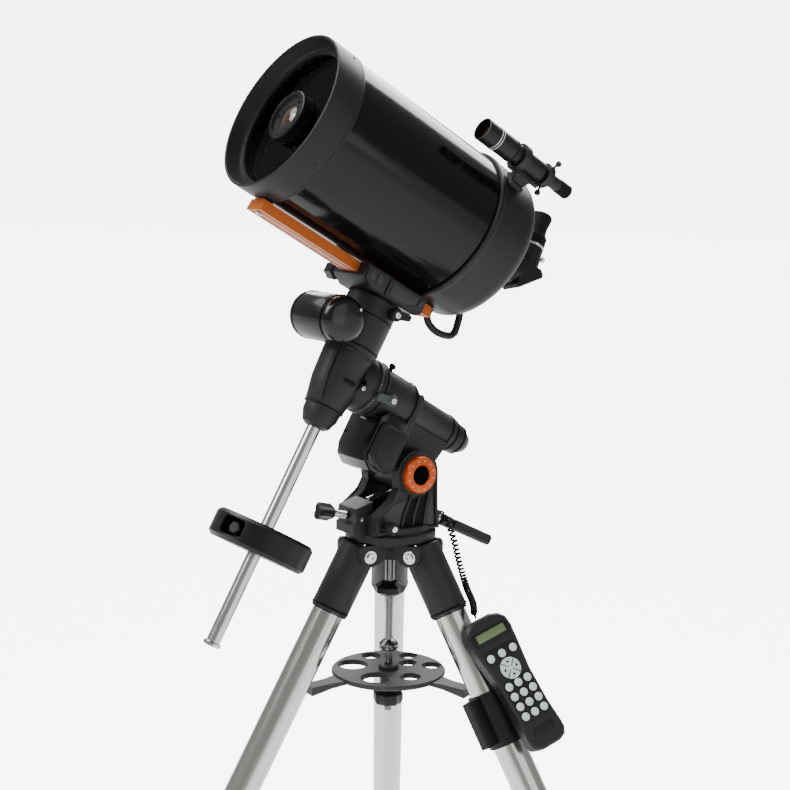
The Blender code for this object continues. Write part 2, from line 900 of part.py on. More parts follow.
part(
    "optical_tube",
    turned(
        (
            (TUBE - TUBE_WALL, TUBE_BACK),
            (TUBE, TUBE_BACK),
            (TUBE, TUBE_FRONT),
            (TUBE - TUBE_WALL, TUBE_FRONT),
        ),
        "X",
        40,
        hollow=True,
    ),
    BLACK_GLOSS,
    optics,
)
part(
    "corrector_plate",
    turned(((31.4, 231.6), (103.5, 231.6), (103.5, 236.6), (31.4, 236.6)), "X", 40, hollow=True),
    GLASS,
    optics,
)
part(
    "secondary_mirror",
    turned(
        (
            (0.0, 199.0),
            (24.0, 199.0),
            (33.0, 205.0),
            (35.5, 231.2),
            (31.0, 231.2),
            (31.0, 237.0),
            (36.5, 237.0),
            (36.5, 249.0),
            (34.5, 251.0),
            (30.5, 251.0),
            (29.0, 245.5),
            (0.0, 245.5),
        ),
        "X",
        24,
    ),
    BLACK_PLASTIC,
    optics,
)
part(
    "rear_cell",
    turned(
        (
            (TUBE + 0.4, -49.0),
            (117.0, -49.0),
            (118.0, -51.0),
            (118.0, -58.0),
            (116.0, -61.0),
            (116.0, -114.0),
            (111.5, -125.0),
            (102.0, -131.0),
            (48.0, -133.0),
            (27.0, -139.0),
            (25.0, -158.0),
            (17.6, -158.0),
            (17.6, 60.0),
            (19.6, 60.0),
            (19.6, -126.0),
            (109.5, -126.0),
            (109.5, -58.4),
            (TUBE + 0.4, -58.4),
        ),
        "X",
        40,
        hollow=True,
    ),
    CHARCOAL,
    optics,
)
part(
    "primary_mirror",
    turned(
        ((20.6, -112.0), (101.0, -112.0), (101.0, -88.0), (82.0, -89.6), (60.0, -91.0), (38.0, -91.9), (20.6, -92.3)),
        "X",
        40,
        hollow=True,
    ),
    MIRROR,
    optics,
)
part(
    "focus_knob",
    turned(
        ((0.0, -156.0), (12.0, -156.0), (13.5, -154.0), (13.5, -138.0), (9.0, -136.0), (9.0, -133.2), (0.0, -133.2)),
        "X",
        18,
        (0.0, -55.0, -30.0),
    ),
    RUBBER,
    optics,
    (-133.2, -55.0, -30.0),
)
HANDLE = (
    (-93.0, 0.0, -116.6),
    (-93.0, 0.0, -126.0),
    (-98.0, 0.0, -134.0),
    (-110.0, 0.0, -139.5),
    (-126.0, 0.0, -140.5),
    (-143.0, 0.0, -136.0),
    (-149.0, 0.0, -130.0),
    (-150.0, 0.0, -122.0),
    (-145.5, 0.0, -101.0),
    (-140.0, 0.0, -95.5),
    (-132.2, 0.0, -95.5),
)
swept("carry_handle", HANDLE, 5.5, BLACK_PLASTIC, optics)

diagonal = part(
    "star_diagonal",
    turned(((0.0, -200.0), (15.9, -200.0), (15.9, -140.0), (0.0, -140.0)), "X", 18),
    BLACK_PLASTIC,
    optics,
)
PRISM = ((-201.0, -21.0), (-207.0, -25.5), (-246.0, 11.0), (-246.0, 16.0), (-240.0, 22.0), (-201.0, 22.0))
join(
    diagonal,
    turned(((0.0, -204.0), (19.0, -204.0), (19.0, -160.5), (0.0, -160.5)), "X", 18),
    bevelled(extruded(PRISM, -17.5, 17.5, "Y"), 1.5),
    turned(((0.0, 20.0), (17.5, 20.0), (17.5, 57.0), (0.0, 57.0)), "Z", 18, (-223.0, 0.0, 0.0)),
)
cut(diagonal, turned(((0.0, 31.0), (16.2, 31.0), (16.2, 70.0), (0.0, 70.0)), "Z", 18, (-223.0, 0.0, 0.0)))
diagonal.rotation_euler = (DIAGONAL_TILT, 0.0, 0.0)
eyepiece = part(
    "eyepiece",
    turned(
        (
            (0.0, 34.0),
            (15.8, 34.0),
            (15.8, 57.3),
            (17.6, 57.4),
            (17.6, 72.0),
            (14.8, 76.0),
            (14.4, 88.0),
            (17.6, 106.0),
            (16.6, 108.5),
            (13.0, 108.5),
            (11.0, 101.0),
            (0.0, 101.0),
        ),
        "Z",
        20,
        (-223.0, 0.0, 0.0),
    ),
    RUBBER,
    optics,
)
eyepiece.rotation_euler = (DIAGONAL_TILT, 0.0, 0.0)

finder = frame("finder_frame", optics, rotation=(-FINDER_TURN, 0.0, 0.0))
bracket = part(
    "finder_bracket",
    bevelled(block((-86.0, -13.0, 116.5), (-61.5, 13.0, 124.0)), 1.5),
    BLACK_SATIN,
    finder,
)
join(
    bracket,
    bevelled(extruded(((-84.0, 120.0), (-64.0, 120.0), (-54.0, 139.0), (-88.0, 139.0)), -8.0, 8.0, "Y"), 1.5),
    block((-101.0, -6.0, 134.0), (-42.0, 6.0, 140.5)),
    turned(((15.3, -52.0), (19.3, -52.0), (19.3, -41.0), (15.3, -41.0)), "X", 18, (0.0, 0.0, FINDER_HEIGHT), True),
    turned(((11.0, -102.0), (17.6, -102.0), (17.6, -92.0), (11.0, -92.0)), "X", 18, (0.0, 0.0, FINDER_HEIGHT), True),
)
cut(
    bracket,
    turned(((0.0, -60.0), (15.3, -60.0), (15.3, -30.0), (0.0, -30.0)), "X", 18, (0.0, 0.0, FINDER_HEIGHT)),
    turned(((0.0, -110.0), (11.0, -110.0), (11.0, -90.0), (0.0, -90.0)), "X", 18, (0.0, 0.0, FINDER_HEIGHT)),
)
part(
    "finder_scope",
    turned(
        (
            (0.0, -147.0),
            (9.0, -147.0),
            (9.8, -145.5),
            (9.4, -92.0),
            (14.4, -86.0),
            (14.9, -33.0),
            (16.4, -27.0),
            (16.8, 30.5),
            (15.0, 31.0),
            (14.4, 14.0),
            (0.0, 14.0),
        ),
        "X",
        18,
        (0.0, 0.0, FINDER_HEIGHT),
    ),
    BLACK_PLASTIC,
    finder,
    (0.0, 0.0, FINDER_HEIGHT),
)

# ---------------------------------------------------------------- hand controller
turned_to = Matrix.Rotation(HANDSET_TURN, 3, "Z")
hand = frame("handset_frame", legs["right"], turned_to @ Vector(HANDSET_SEAT))
leaned = Matrix.Rotation(HANDSET_LEAN, 3, "Y") @ Matrix.Rotation(HANDSET_ROLL, 3, "X")
hand.rotation_euler = (turned_to @ leaned).to_euler()
# In this frame +X leaves the front of the handset, which is at X = 0, +Y is its right and +Z its top.
BODY = ((-14.0, -101.5), (14.0, -101.5), (25.0, -97.0), (29.5, -88.0), (29.5, -78.0), (27.0, -45.0), (27.5, 5.0))
BODY += ((33.0, 48.0), (35.5, 70.0), (34.0, 84.0), (26.0, 93.0), (12.0, 98.0), (-12.0, 98.0), (-26.0, 93.0))
BODY += ((-34.0, 84.0), (-35.5, 70.0), (-33.0, 48.0), (-27.5, 5.0), (-27.0, -45.0), (-29.5, -78.0), (-29.5, -88.0))
BODY += ((-25.0, -97.0),)
handset = part(
    "handset",
    bevelled(extruded(BODY, -HANDSET_THICK, 0.0, "X"), 3.0, 1, 60.0),
    GREY_PLASTIC,
    hand,
)
MAT = ((-22.5, -60.0), (22.5, -60.0), (25.5, 49.0), (-25.5, 49.0))
keypad = part("keypad", extruded(MAT, 0.3, 1.0, "X"), KEYS, hand)
PLACES = [(-19.0 + 19.0 * column, 40.5) for column in range(3)]
PLACES += [(-15.8 + 15.8 * column, -5.0 - 15.3 * row) for row in range(4) for column in range(3)]
keys = [turned(((0.0, 0.6), (6.0, 0.6), (6.0, 1.8), (0.0, 2.8)), "X", 10, (0.0, y, z)) for y, z in PLACES]
join(keypad, gathered(keys))
cut(keypad, turned(((0.0, 0.0), (16.1, 0.0), (16.1, 2.0), (0.0, 2.0)), "X", 18, (0.0, 0.0, 17.2)))
part(
    "direction_pad",
    turned(((0.0, 1.2), (15.4, 1.2), (15.4, 2.6), (0.0, 3.6)), "X", 18, (0.0, 0.0, 17.2)),
    KEYS,
    hand,
)
grip = frame("grip_frame", legs["right"], (0.0, 0.0, HANDSET_SEAT[2]), (0.0, 0.0, HANDSET_TURN))
clamp = part(
    "handset_bracket",
    turned(((23.6, -80.0), (28.0, -80.0), (28.0, -2.0), (23.6, -2.0)), "Z", 18, hollow=True),
    BLACK_PLASTIC,
    grip,
)
cut(clamp, block((-60.0, -8.0, -90.0), (-10.0, 8.0, 20.0)))
jaw = extruded(((24.0, -9.0), (44.0, -9.0), (50.0, -6.0), (50.0, 6.0), (44.0, 9.0), (24.0, 9.0)), -72.0, -4.0)
join(clamp, placed(jaw, Matrix.Rotation(math.radians(-63.0), 4, "Z")))
join(clamp, block((25.0, 6.0, -76.0), (33.0, 46.0, -4.0)))

swept("handset_cord", CORD_PATH, CORD, BLACK_PLASTIC, ground, 2)
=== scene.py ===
"""A Schmidt-Cassegrain telescope on its equatorial mount: finishes, details, cord, floor, lights and camera.

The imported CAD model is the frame. Lengths below are in millimetres in the part's own local frames, which are
built at the top, and every piece is scaled to metres as it is made.
"""

import json
import math

import bmesh
import bpy
from mathutils import Matrix, Vector


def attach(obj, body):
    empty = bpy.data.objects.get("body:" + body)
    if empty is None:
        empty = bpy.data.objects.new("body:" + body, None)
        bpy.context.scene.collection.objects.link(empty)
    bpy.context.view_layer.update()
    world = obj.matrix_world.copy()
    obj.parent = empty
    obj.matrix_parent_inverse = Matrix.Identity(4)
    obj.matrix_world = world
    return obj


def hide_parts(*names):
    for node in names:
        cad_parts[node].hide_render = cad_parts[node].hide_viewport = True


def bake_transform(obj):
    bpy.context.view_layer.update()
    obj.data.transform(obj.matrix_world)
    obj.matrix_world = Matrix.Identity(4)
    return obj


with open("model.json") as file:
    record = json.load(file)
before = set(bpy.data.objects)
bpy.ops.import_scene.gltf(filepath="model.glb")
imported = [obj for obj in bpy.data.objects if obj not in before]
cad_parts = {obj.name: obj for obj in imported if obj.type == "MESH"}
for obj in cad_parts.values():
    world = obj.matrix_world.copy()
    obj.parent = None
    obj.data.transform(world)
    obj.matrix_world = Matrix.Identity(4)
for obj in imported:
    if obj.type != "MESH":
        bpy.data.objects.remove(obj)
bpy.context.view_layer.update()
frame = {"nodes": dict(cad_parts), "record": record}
nodes = frame["nodes"]


# ---------------------------------------------------------------- frames
def shift(x, y, z):
    return Matrix.Translation((x, y, z))


def turn(degrees, axis):
    return Matrix.Rotation(math.radians(degrees), 4, axis)


def axis_along(x, y, z):
    """A frame whose Z is this direction."""
    return Vector((x, y, z)).to_track_quat("Z", "Y").to_matrix().to_4x4()


AZIMUTH_AXIS = (98.0, 18.4)
POLAR_CROSSING = (-89.0, 1021.0)  # where the declination axis meets the polar axis, from the azimuth axis
LATITUDE = 29.3
TUBE_HEIGHT = 263.8  # from the polar axis to the tube's axis
FINDER_ROUND, FINDER_OUT = -46.6, 155.6
DIAGONAL_ROUND = 12.0
LEG_HINGE = (52.8, 760.0)
LEG_SPLAY = 29.2
TRAY_TOP = 575.0

MM = Matrix.Scale(0.001, 4)
HERE = Matrix.Identity(4)
BASE = shift(*AZIMUTH_AXIS, 0.0)
POLAR = BASE @ shift(POLAR_CROSSING[0], 0.0, POLAR_CROSSING[1]) @ turn(180.0, "Z") @ turn(-LATITUDE, "Y")
OPTICS = POLAR @ shift(0.0, 0.0, TUBE_HEIGHT)
FINDER = OPTICS @ turn(FINDER_ROUND, "X") @ shift(0.0, 0.0, FINDER_OUT)
DIAGONAL = OPTICS @ turn(DIAGONAL_ROUND, "X")
LEG_ANGLES = {"left": 175.6, "rear": 55.6, "right": 295.6}
LEGS = {
    name: BASE @ turn(angle, "Z") @ shift(LEG_HINGE[0], 0.0, LEG_HINGE[1]) @ turn(-LEG_SPLAY, "Y")
    for name, angle in LEG_ANGLES.items()
}
HAND = LEGS["right"] @ turn(-36.7, "Z") @ shift(62.0, 26.1, -217.0) @ turn(-6.0, "Y") @ turn(3.3, "X")
ALONG_X = turn(90.0, "Y")
ALONG_Y = turn(-90.0, "X")


# ---------------------------------------------------------------- mesh makers
def turned(profile, where=HERE, steps=64, hollow=False, lobes=(0, 0.0, 0.0)):
    """A turned shape: (radius, height) points carried round Z.

    Lobes are their count, their depth, and the radius that they start at.
    """
    count, depth, least = lobes
    bm = bmesh.new()
    rings = []
    for step in range(steps):
        angle = 2.0 * math.pi * step / steps
        ring = []
        for radius, height in profile:
            if count and radius > least:
                radius -= depth * (0.5 - 0.5 * math.cos(count * angle)) ** 1.6
            ring.append(bm.verts.new((radius * math.cos(angle), radius * math.sin(angle), height)))
        rings.append(ring)
    spans = len(profile) if hollow else len(profile) - 1
    for step in range(steps):
        one, two = rings[step], rings[(step + 1) % steps]
        for i in range(spans):
            k = (i + 1) % len(profile)
            bm.faces.new((one[i], two[i], two[k], one[k]))
    bmesh.ops.remove_doubles(bm, verts=bm.verts, dist=1e-4)
    bmesh.ops.recalc_face_normals(bm, faces=bm.faces)
    bm.transform(where)
    return bm


def prism(outline, low, high, where=HERE, bevel=0.0, steps=2):
    """An outline in XY carried from low to high along Z, with its edges rounded."""
    bm = bmesh.new()
    bottom = [bm.verts.new((x, y, low)) for x, y in outline]
    top = [bm.verts.new((x, y, high)) for x, y in outline]
    bm.faces.new(bottom)
    bm.faces.new(top)
    for i in range(len(outline)):
        k = (i + 1) % len(outline)
        bm.faces.new((bottom[i], bottom[k], top[k], top[i]))
    bmesh.ops.recalc_face_normals(bm, faces=bm.faces)
    if bevel:
        bmesh.ops.bevel(bm, geom=bm.edges[:], offset=bevel, segments=steps, profile=0.6, affect="EDGES")
    bm.transform(where)
    return bm


def box(low, high, where=HERE, bevel=0.0, steps=2):
    outline = ((low[0], low[1]), (high[0], low[1]), (high[0], high[1]), (low[0], high[1]))
    return prism(outline, low[2], high[2], where, bevel, steps)


def rounded(width, height, radius, centre=(0.0, 0.0), steps=6):
    """A rectangle's outline with round corners."""
    points = []
    for corner, (sx, sy) in enumerate(((1, 1), (-1, 1), (-1, -1), (1, -1))):
        for step in range(steps + 1):
            a = math.radians(90.0 * (corner + step / steps))
            x = sx * (width / 2.0 - radius) + radius * math.cos(a)
            y = sy * (height / 2.0 - radius) + radius * math.sin(a)
            points.append((centre[0] + x, centre[1] + y))
    return points


def smooth_path(points, steps):
    """A Catmull-Rom curve through the points."""
    ends = [points[0] * 2.0 - points[1]] + list(points) + [points[-1] * 2.0 - points[-2]]
    found = []
    for a, b, c, d in zip(ends, ends[1:], ends[2:], ends[3:]):
        for step in range(steps):
            t = step / steps
            first = 2.0 * b + (c - a) * t
            second = (2.0 * a - 5.0 * b + 4.0 * c - d) * t * t
            third = (3.0 * b - a - 3.0 * c + d) * t**3
            found.append(0.5 * (first + second + third))
    found.append(points[-1].copy())
    return found


def carried_sides(path):
    """A sideways direction at each point of a path, carried along it without twist."""
    side = (path[1] - path[0]).orthogonal().normalized()
    sides = []
    for i, point in enumerate(path):
        ahead = (path[min(i + 1, len(path) - 1)] - path[max(i - 1, 0)]).normalized()
        side = (side - ahead * side.dot(ahead)).normalized()
        sides.append((side.copy(), ahead.cross(side)))
    return sides


def tube(path, radius, where=HERE, around=10):
    """A round tube along a path, closed at its ends."""
    bm = bmesh.new()
    rings = []
    for point, (one, two) in zip(path, carried_sides(path)):
        angles = [2.0 * math.pi * k / around for k in range(around)]
        rings.append(
            [bm.verts.new(point + (one * math.cos(a) + two * math.sin(a)) * radius) for a in angles],
        )
    for first, second in zip(rings, rings[1:]):
        for k in range(around):
            bm.faces.new((first[k], first[(k + 1) % around], second[(k + 1) % around], second[k]))
    bm.faces.new(rings[0])
    bm.faces.new(rings[-1])
    bmesh.ops.recalc_face_normals(bm, faces=bm.faces)
    bm.transform(where)
    return bm


def rib(points, width, low, high, where=HERE):
    """A flat raised rib that follows points in XY."""
    left, right = [], []
    points = [Vector(p) for p in points]
    for i, point in enumerate(points):
        ahead = (points[min(i + 1, len(points) - 1)] - points[max(i - 1, 0)]).normalized()
        across = Vector((-ahead.y, ahead.x)) * width / 2.0
        left.append(tuple(point + across))
        right.append(tuple(point - across))
    return prism(left + right[::-1], low, high, where, min(width, high - low) * 0.22, 2)


def screw(where, radius, height):
    """A socket screw's head that stands on the frame's XY plane."""
    head = (
        (0.0, height * 0.35),
        (radius * 0.5, height * 0.35),
        (radius * 0.55, height),
        (radius * 0.85, height),
        (radius, height * 0.8),
        (radius, 0.0),
        (0.0, 0.0),
    )
    return turned(head, where, 24)


def washer(where, inner, outer, height):
    profile = ((inner, 0.0), (outer, 0.0), (outer, height * 0.7), (outer - 0.4, height), (inner, height))
    return turned(profile, where, 32, hollow=True)


def ring_of(maker, count, radius, where, start=0.0, height=0.0):
    """Copies of a small shape on a circle, each made by maker(frame)."""
    return [
        maker(where @ turn(start + 360.0 * i / count, "Z") @ shift(radius, 0.0, height))
        for i in range(count)
    ]


def piece(name, shapes, material, body, where=HERE, sharp=32.0):
    """One object from these shapes, which rides on the body if one is named."""
    whole = bmesh.new()
    spare = bpy.data.meshes.new("spare")
    for shape in shapes if isinstance(shapes, list) else [shapes]:
        shape.to_mesh(spare)
        whole.from_mesh(spare)
        shape.free()
    bpy.data.meshes.remove(spare)
    whole.transform(MM @ where)
    mesh = bpy.data.meshes.new(name)
    whole.to_mesh(mesh)
    whole.free()
    mesh.shade_smooth()
    mesh.set_sharp_from_angle(angle=math.radians(sharp))
    mesh.materials.append(material)
    made = bpy.data.objects.new(name, mesh)
    bpy.context.scene.collection.objects.link(made)
    if body:
        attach(made, body)
    return made


# ---------------------------------------------------------------- materials
def surface(
    name,
    colour,
    rough,
    metal=0.0,
    coat=0.0,
    grain=900.0,
    relief=0.02,
    drift=0.12,
    broad=30.0,
    spread=0.05,
    stretch=(1.0, 1.0, 1.0),
    along=HERE,
    shine=0.35,
):
    """A finish with a fine relief, a slow drift of colour and a grain that can be drawn out along a frame."""
    made = bpy.data.materials.new(name)
    made.use_nodes = True
    tree = made.node_tree
    link = tree.links.new
    shader = tree.nodes["Principled BSDF"]
    shader.inputs["Metallic"].default_value = metal
    shader.inputs["Coat Weight"].default_value = coat
    shader.inputs["Coat Roughness"].default_value = 0.06
    shader.inputs["Specular IOR Level"].default_value = shine
    where = tree.nodes.new("ShaderNodeTexCoord")
    mapping = tree.nodes.new("ShaderNodeMapping")
    mapping.vector_type = "TEXTURE"
    mapping.inputs["Rotation"].default_value = along.to_euler()
    mapping.inputs["Scale"].default_value = stretch
    link(where.outputs["Object"], mapping.inputs["Vector"])
    fine = tree.nodes.new("ShaderNodeTexNoise")
    fine.inputs["Scale"].default_value = grain
    fine.inputs["Detail"].default_value = 3.0
    slow = tree.nodes.new("ShaderNodeTexNoise")
    slow.inputs["Scale"].default_value = broad
    slow.inputs["Detail"].default_value = 5.0
    link(mapping.outputs["Vector"], fine.inputs["Vector"])
    link(mapping.outputs["Vector"], slow.inputs["Vector"])
    tint = tree.nodes.new("ShaderNodeMix")
    tint.data_type = "RGBA"
    tint.inputs["A"].default_value = [c * (1.0 - drift) for c in colour] + [1.0]
    tint.inputs["B"].default_value = [min(1.0, c * (1.0 + drift)) for c in colour] + [1.0]
    link(slow.outputs["Fac"], tint.inputs["Factor"])
    link(tint.outputs["Result"], shader.inputs["Base Color"])
    level = tree.nodes.new("ShaderNodeMapRange")
    level.inputs["From Min"].default_value = 0.3
    level.inputs["From Max"].default_value = 0.7
    level.inputs["To Min"].default_value = max(0.02, rough - spread)
    level.inputs["To Max"].default_value = rough + spread
    link(fine.outputs["Fac"], level.inputs["Value"])
    link(level.outputs["Result"], shader.inputs["Roughness"])
    bump = tree.nodes.new("ShaderNodeBump")
    bump.inputs["Strength"].default_value = 0.5
    bump.inputs["Distance"].default_value = relief * 0.001
    link(fine.outputs["Fac"], bump.inputs["Height"])
    link(bump.outputs["Normal"], shader.inputs["Normal"])
    return made


CAST = surface(
    "cast_black",
    (0.0150, 0.0154, 0.0170),
    0.46,
    grain=1500.0,
    relief=0.10,
    drift=0.16,
    spread=0.07,
    shine=0.26,
)
# A darker copy of the cast finish: dark joints at the seams and trims, and painted shade in slots, grooves,
# recesses and key wells.
CAST_DARK = surface(
    "cast_dark_joints_and_painted_shade",
    (0.0025, 0.0025, 0.003),
    0.55,
    grain=1500.0,
    relief=0.10,
    spread=0.07,
    shine=0.12,
)
# A paler copy of the cast finish: painted light on flat panels and grips that face the light.
CAST_PAINTED_LIGHT = surface(
    "cast_painted_light",
    (0.030, 0.031, 0.034),
    0.44,
    grain=1500.0,
    relief=0.10,
    spread=0.07,
    shine=0.28,
)
TUBE_PAINT = surface(
    "tube_gloss",
    (0.003, 0.003, 0.0034),
    0.15,
    coat=0.12,
    grain=120.0,
    relief=0.02,
    broad=8.0,
    spread=0.03,
    shine=0.2,
)
CELL = surface(
    "cell_charcoal",
    (0.0125, 0.0130, 0.0145),
    0.40,
    grain=1300.0,
    relief=0.06,
    spread=0.06,
    shine=0.22,
)
PLASTIC = surface(
    "plastic_black",
    (0.0070, 0.0070, 0.0078),
    0.40,
    grain=1100.0,
    relief=0.05,
    spread=0.06,
    shine=0.25,
)
COVER = surface(
    "cover_gloss",
    (0.005, 0.005, 0.0056),
    0.22,
    coat=0.25,
    grain=700.0,
    relief=0.03,
    spread=0.05,
    shine=0.3,
)
GREY = surface(
    "plastic_grey",
    (0.0115, 0.0120, 0.0132),
    0.42,
    grain=1200.0,
    relief=0.06,
    spread=0.06,
    shine=0.26,
)
LEVER = surface(
    "lever_grey",
    (0.055, 0.062, 0.058),
    0.38,
    grain=900.0,
    relief=0.05,
    spread=0.06,
    shine=0.25,
)
RUBBER = surface(
    "rubber_black",
    (0.005, 0.005, 0.005),
    0.68,
    grain=1600.0,
    relief=0.08,
    spread=0.08,
    shine=0.15,
)
KEYS = surface("keys_pale", (0.60, 0.65, 0.67), 0.46, grain=900.0, relief=0.03, drift=0.05, spread=0.05)
MARKS = surface("marks_pale", (0.55, 0.56, 0.56), 0.5, grain=900.0, relief=0.01, drift=0.05)
ORANGE = surface(
    "anodised_orange",
    (0.50, 0.115, 0.016),
    0.40,
    metal=0.30,
    grain=1500.0,
    relief=0.015,
    drift=0.10,
    broad=24.0,
    spread=0.08,
    stretch=(40.0, 1.0, 1.0),
    along=POLAR,
)
ORANGE_CAP = surface(
    "anodised_cap",
    (0.52, 0.075, 0.006),
    0.34,
    metal=0.55,
    coat=0.1,
    grain=900.0,
    relief=0.02,
    spread=0.06,
)
CHROME = surface(
    "chrome",
    (0.72, 0.72, 0.73),
    0.13,
    metal=1.0,
    grain=300.0,
    relief=0.01,
    drift=0.05,
    spread=0.04,
)
ROD = surface(
    "rod_steel",
    (0.16, 0.155, 0.15),
    0.24,
    metal=1.0,
    grain=500.0,
    relief=0.01,
    drift=0.10,
    spread=0.06,
)
SHAFT = surface(
    "ground_shaft",
    (0.62, 0.61, 0.60),
    0.20,
    1.0,
    0.0,
    1500.0,
    0.01,
    0.08,
    30.0,
    0.07,
    (1.0, 1.0, 50.0),
    POLAR,
)
STEEL = {
    name: surface(
        f"stainless_{name}",
        (0.64, 0.62, 0.58),
        0.21,
        metal=1.0,
        relief=0.008,
        drift=0.07,
        broad=18.0,
        spread=0.06,
        stretch=(1.0, 1.0, 80.0),
        along=where,
    )
    for name, where in LEGS.items()
}
TRAY = surface("tray_grey", (0.030, 0.032, 0.036), 0.42, grain=1200.0, relief=0.06, spread=0.06, shine=0.28)
WEIGHT = surface(
    "weight_black",
    (0.0065, 0.0065, 0.0072),
    0.36,
    grain=500.0,
    relief=0.12,
    spread=0.07,
    shine=0.22,
)
BORE = surface("bore_black", (0.0010, 0.0010, 0.0010), 0.9, grain=40.0, relief=0.0, shine=0.05)
SCREEN = surface(
    "screen_green",
    (0.105, 0.150, 0.062),
    0.30,
    coat=0.3,
    grain=1200.0,
    relief=0.01,
    drift=0.06,
)
MIRROR = surface(
    "mirror",
    (0.62, 0.64, 0.66),
    0.05,
    metal=1.0,
    grain=12.0,
    relief=0.0,
    drift=0.04,
    broad=4.0,
    spread=0.008,
)
LENS = surface(
    "lens_coated",
    (0.045, 0.024, 0.012),
    0.08,
    metal=0.35,
    coat=1.0,
    grain=200.0,
    relief=0.002,
    spread=0.02,
    shine=0.4,
)
GLASS = surface(
    "corrector_glass",
    (0.60, 0.66, 0.64),
    0.03,
    metal=1.0,
    grain=60.0,
    relief=0.0,
    drift=0.04,
    spread=0.01,
)
GLASS.node_tree.nodes["Principled BSDF"].inputs["Alpha"].default_value = 0.03

FINISH = {
    "cast_satin_black": CAST,
    "tube_gloss_black": TUBE_PAINT,
    "cell_charcoal": CELL,
    "plastic_black": PLASTIC,
    "cover_gloss_black": COVER,
    "plastic_dark_grey": GREY,
    "rubber_black": RUBBER,
    "keys_pale_grey": KEYS,
    "anodised_orange": ORANGE,
    "leg_steel": STEEL["left"],
    "chrome": CHROME,
    "tray_grey": TRAY,
    "corrector_glass": GLASS,
    "weight_black": WEIGHT,
    "mirror": MIRROR,
}
SPECIAL = {
    "counterweight_shaft": SHAFT,
    "centre_rod": ROD,
    "tray_knob": PLASTIC,
    "ra_lock_lever": LEVER,
    "altitude_cap_near": ORANGE_CAP,
    "altitude_cap_far": ORANGE_CAP,
}
for name, where in STEEL.items():
    SPECIAL[f"leg_tube_{name}"] = where
    SPECIAL[f"leg_extension_{name}"] = where


def angle_smoothing():
    """A node group that joins the mesh's split points and shades it smooth below 32 degrees."""
    group = bpy.data.node_groups.new("angle_smoothing", "GeometryNodeTree")
    group.interface.new_socket("Geometry", in_out="INPUT", socket_type="NodeSocketGeometry")
    group.interface.new_socket("Geometry", in_out="OUTPUT", socket_type="NodeSocketGeometry")
    link = group.links.new
    start = group.nodes.new("NodeGroupInput")
    end = group.nodes.new("NodeGroupOutput")
    plain = group.nodes.new("GeometryNodeRemoveAttribute")
    plain.inputs["Name"].default_value = "custom_normal"
    merge = group.nodes.new("GeometryNodeMergeByDistance")
    merge.inputs["Distance"].default_value = 0.00001
    faces = group.nodes.new("GeometryNodeSetShadeSmooth")
    faces.domain = "FACE"
    edges = group.nodes.new("GeometryNodeSetShadeSmooth")
    edges.domain = "EDGE"
    edges.inputs["Shade Smooth"].default_value = False
    bend = group.nodes.new("GeometryNodeInputMeshEdgeAngle")
    over = group.nodes.new("FunctionNodeCompare")
    over.data_type = "FLOAT"
    over.operation = "GREATER_THAN"
    over.inputs["B"].default_value = math.radians(32.0)
    link(start.outputs[0], plain.inputs["Geometry"])
    link(plain.outputs[0], merge.inputs["Geometry"])
    link(merge.outputs[0], faces.inputs["Geometry"])
    link(faces.outputs[0], edges.inputs["Geometry"])
    link(bend.outputs["Unsigned Angle"], over.inputs["A"])
    link(over.outputs["Result"], edges.inputs["Selection"])
    link(edges.outputs[0], end.inputs[0])
    return group


SMOOTHING = angle_smoothing()
for part in frame["record"]["subparts"]:
    node = nodes[part["node"]]
    finish = SPECIAL.get(part["node"], FINISH[part["material_slot"]])
    if not node.material_slots:
        node.data.materials.append(finish)
    for held in node.material_slots:
        held.material = finish
    node.modifiers.new("smoothing", "NODES").node_group = SMOOTHING

# ---------------------------------------------------------------- camera
camera = bpy.data.objects.new("camera", bpy.data.cameras.new("camera"))
bpy.context.scene.collection.objects.link(camera)
across = Vector((0.8253, -0.5643, 0.0145))
up = Vector((0.0711, 0.1294, 0.9890))
back = -Vector((0.5600, 0.8153, -0.1470))
axes = Matrix((across, up, back)).transposed()
camera.matrix_world = Matrix.Translation((-1.1444, -1.7972, 1.3088)) @ axes.to_4x4()
camera.data.lens = 70.6
camera.data.sensor_width = 36.0
camera.data.clip_end = 100.0
bpy.context.scene.camera = camera

# ---------------------------------------------------------------- curly cord
CORD_ROUTE = [
    Vector(p)
    for p in (
        (68.2, -20.0, 805.0),
        (74.0, -20.2, 804.2),
        (80.0, -22.0, 799.0),
        (85.0, -25.0, 789.0),
        (88.0, -30.0, 776.0),
        (89.0, -37.0, 762.0),
        (87.5, -48.0, 743.0),
        (85.5, -63.0, 720.0),
        (80.0, -82.0, 703.0),
        (73.0, -104.0, 691.5),
        (65.5, -117.0, 687.5),
        (59.5, -126.0, 684.0),
        (56.0, -131.5, 680.5),
        (56.5, -135.5, 676.5),
    )
]
WIRE, COIL = 1.6, 3.8  # radii of the wire and of the coil's centreline
PITCH_FIRST, PITCH_LAST = 8.6, 4.4
STRAIGHT_END, EASE = 1.0, 10.0  # lengths at each end without a coil, and over which it opens


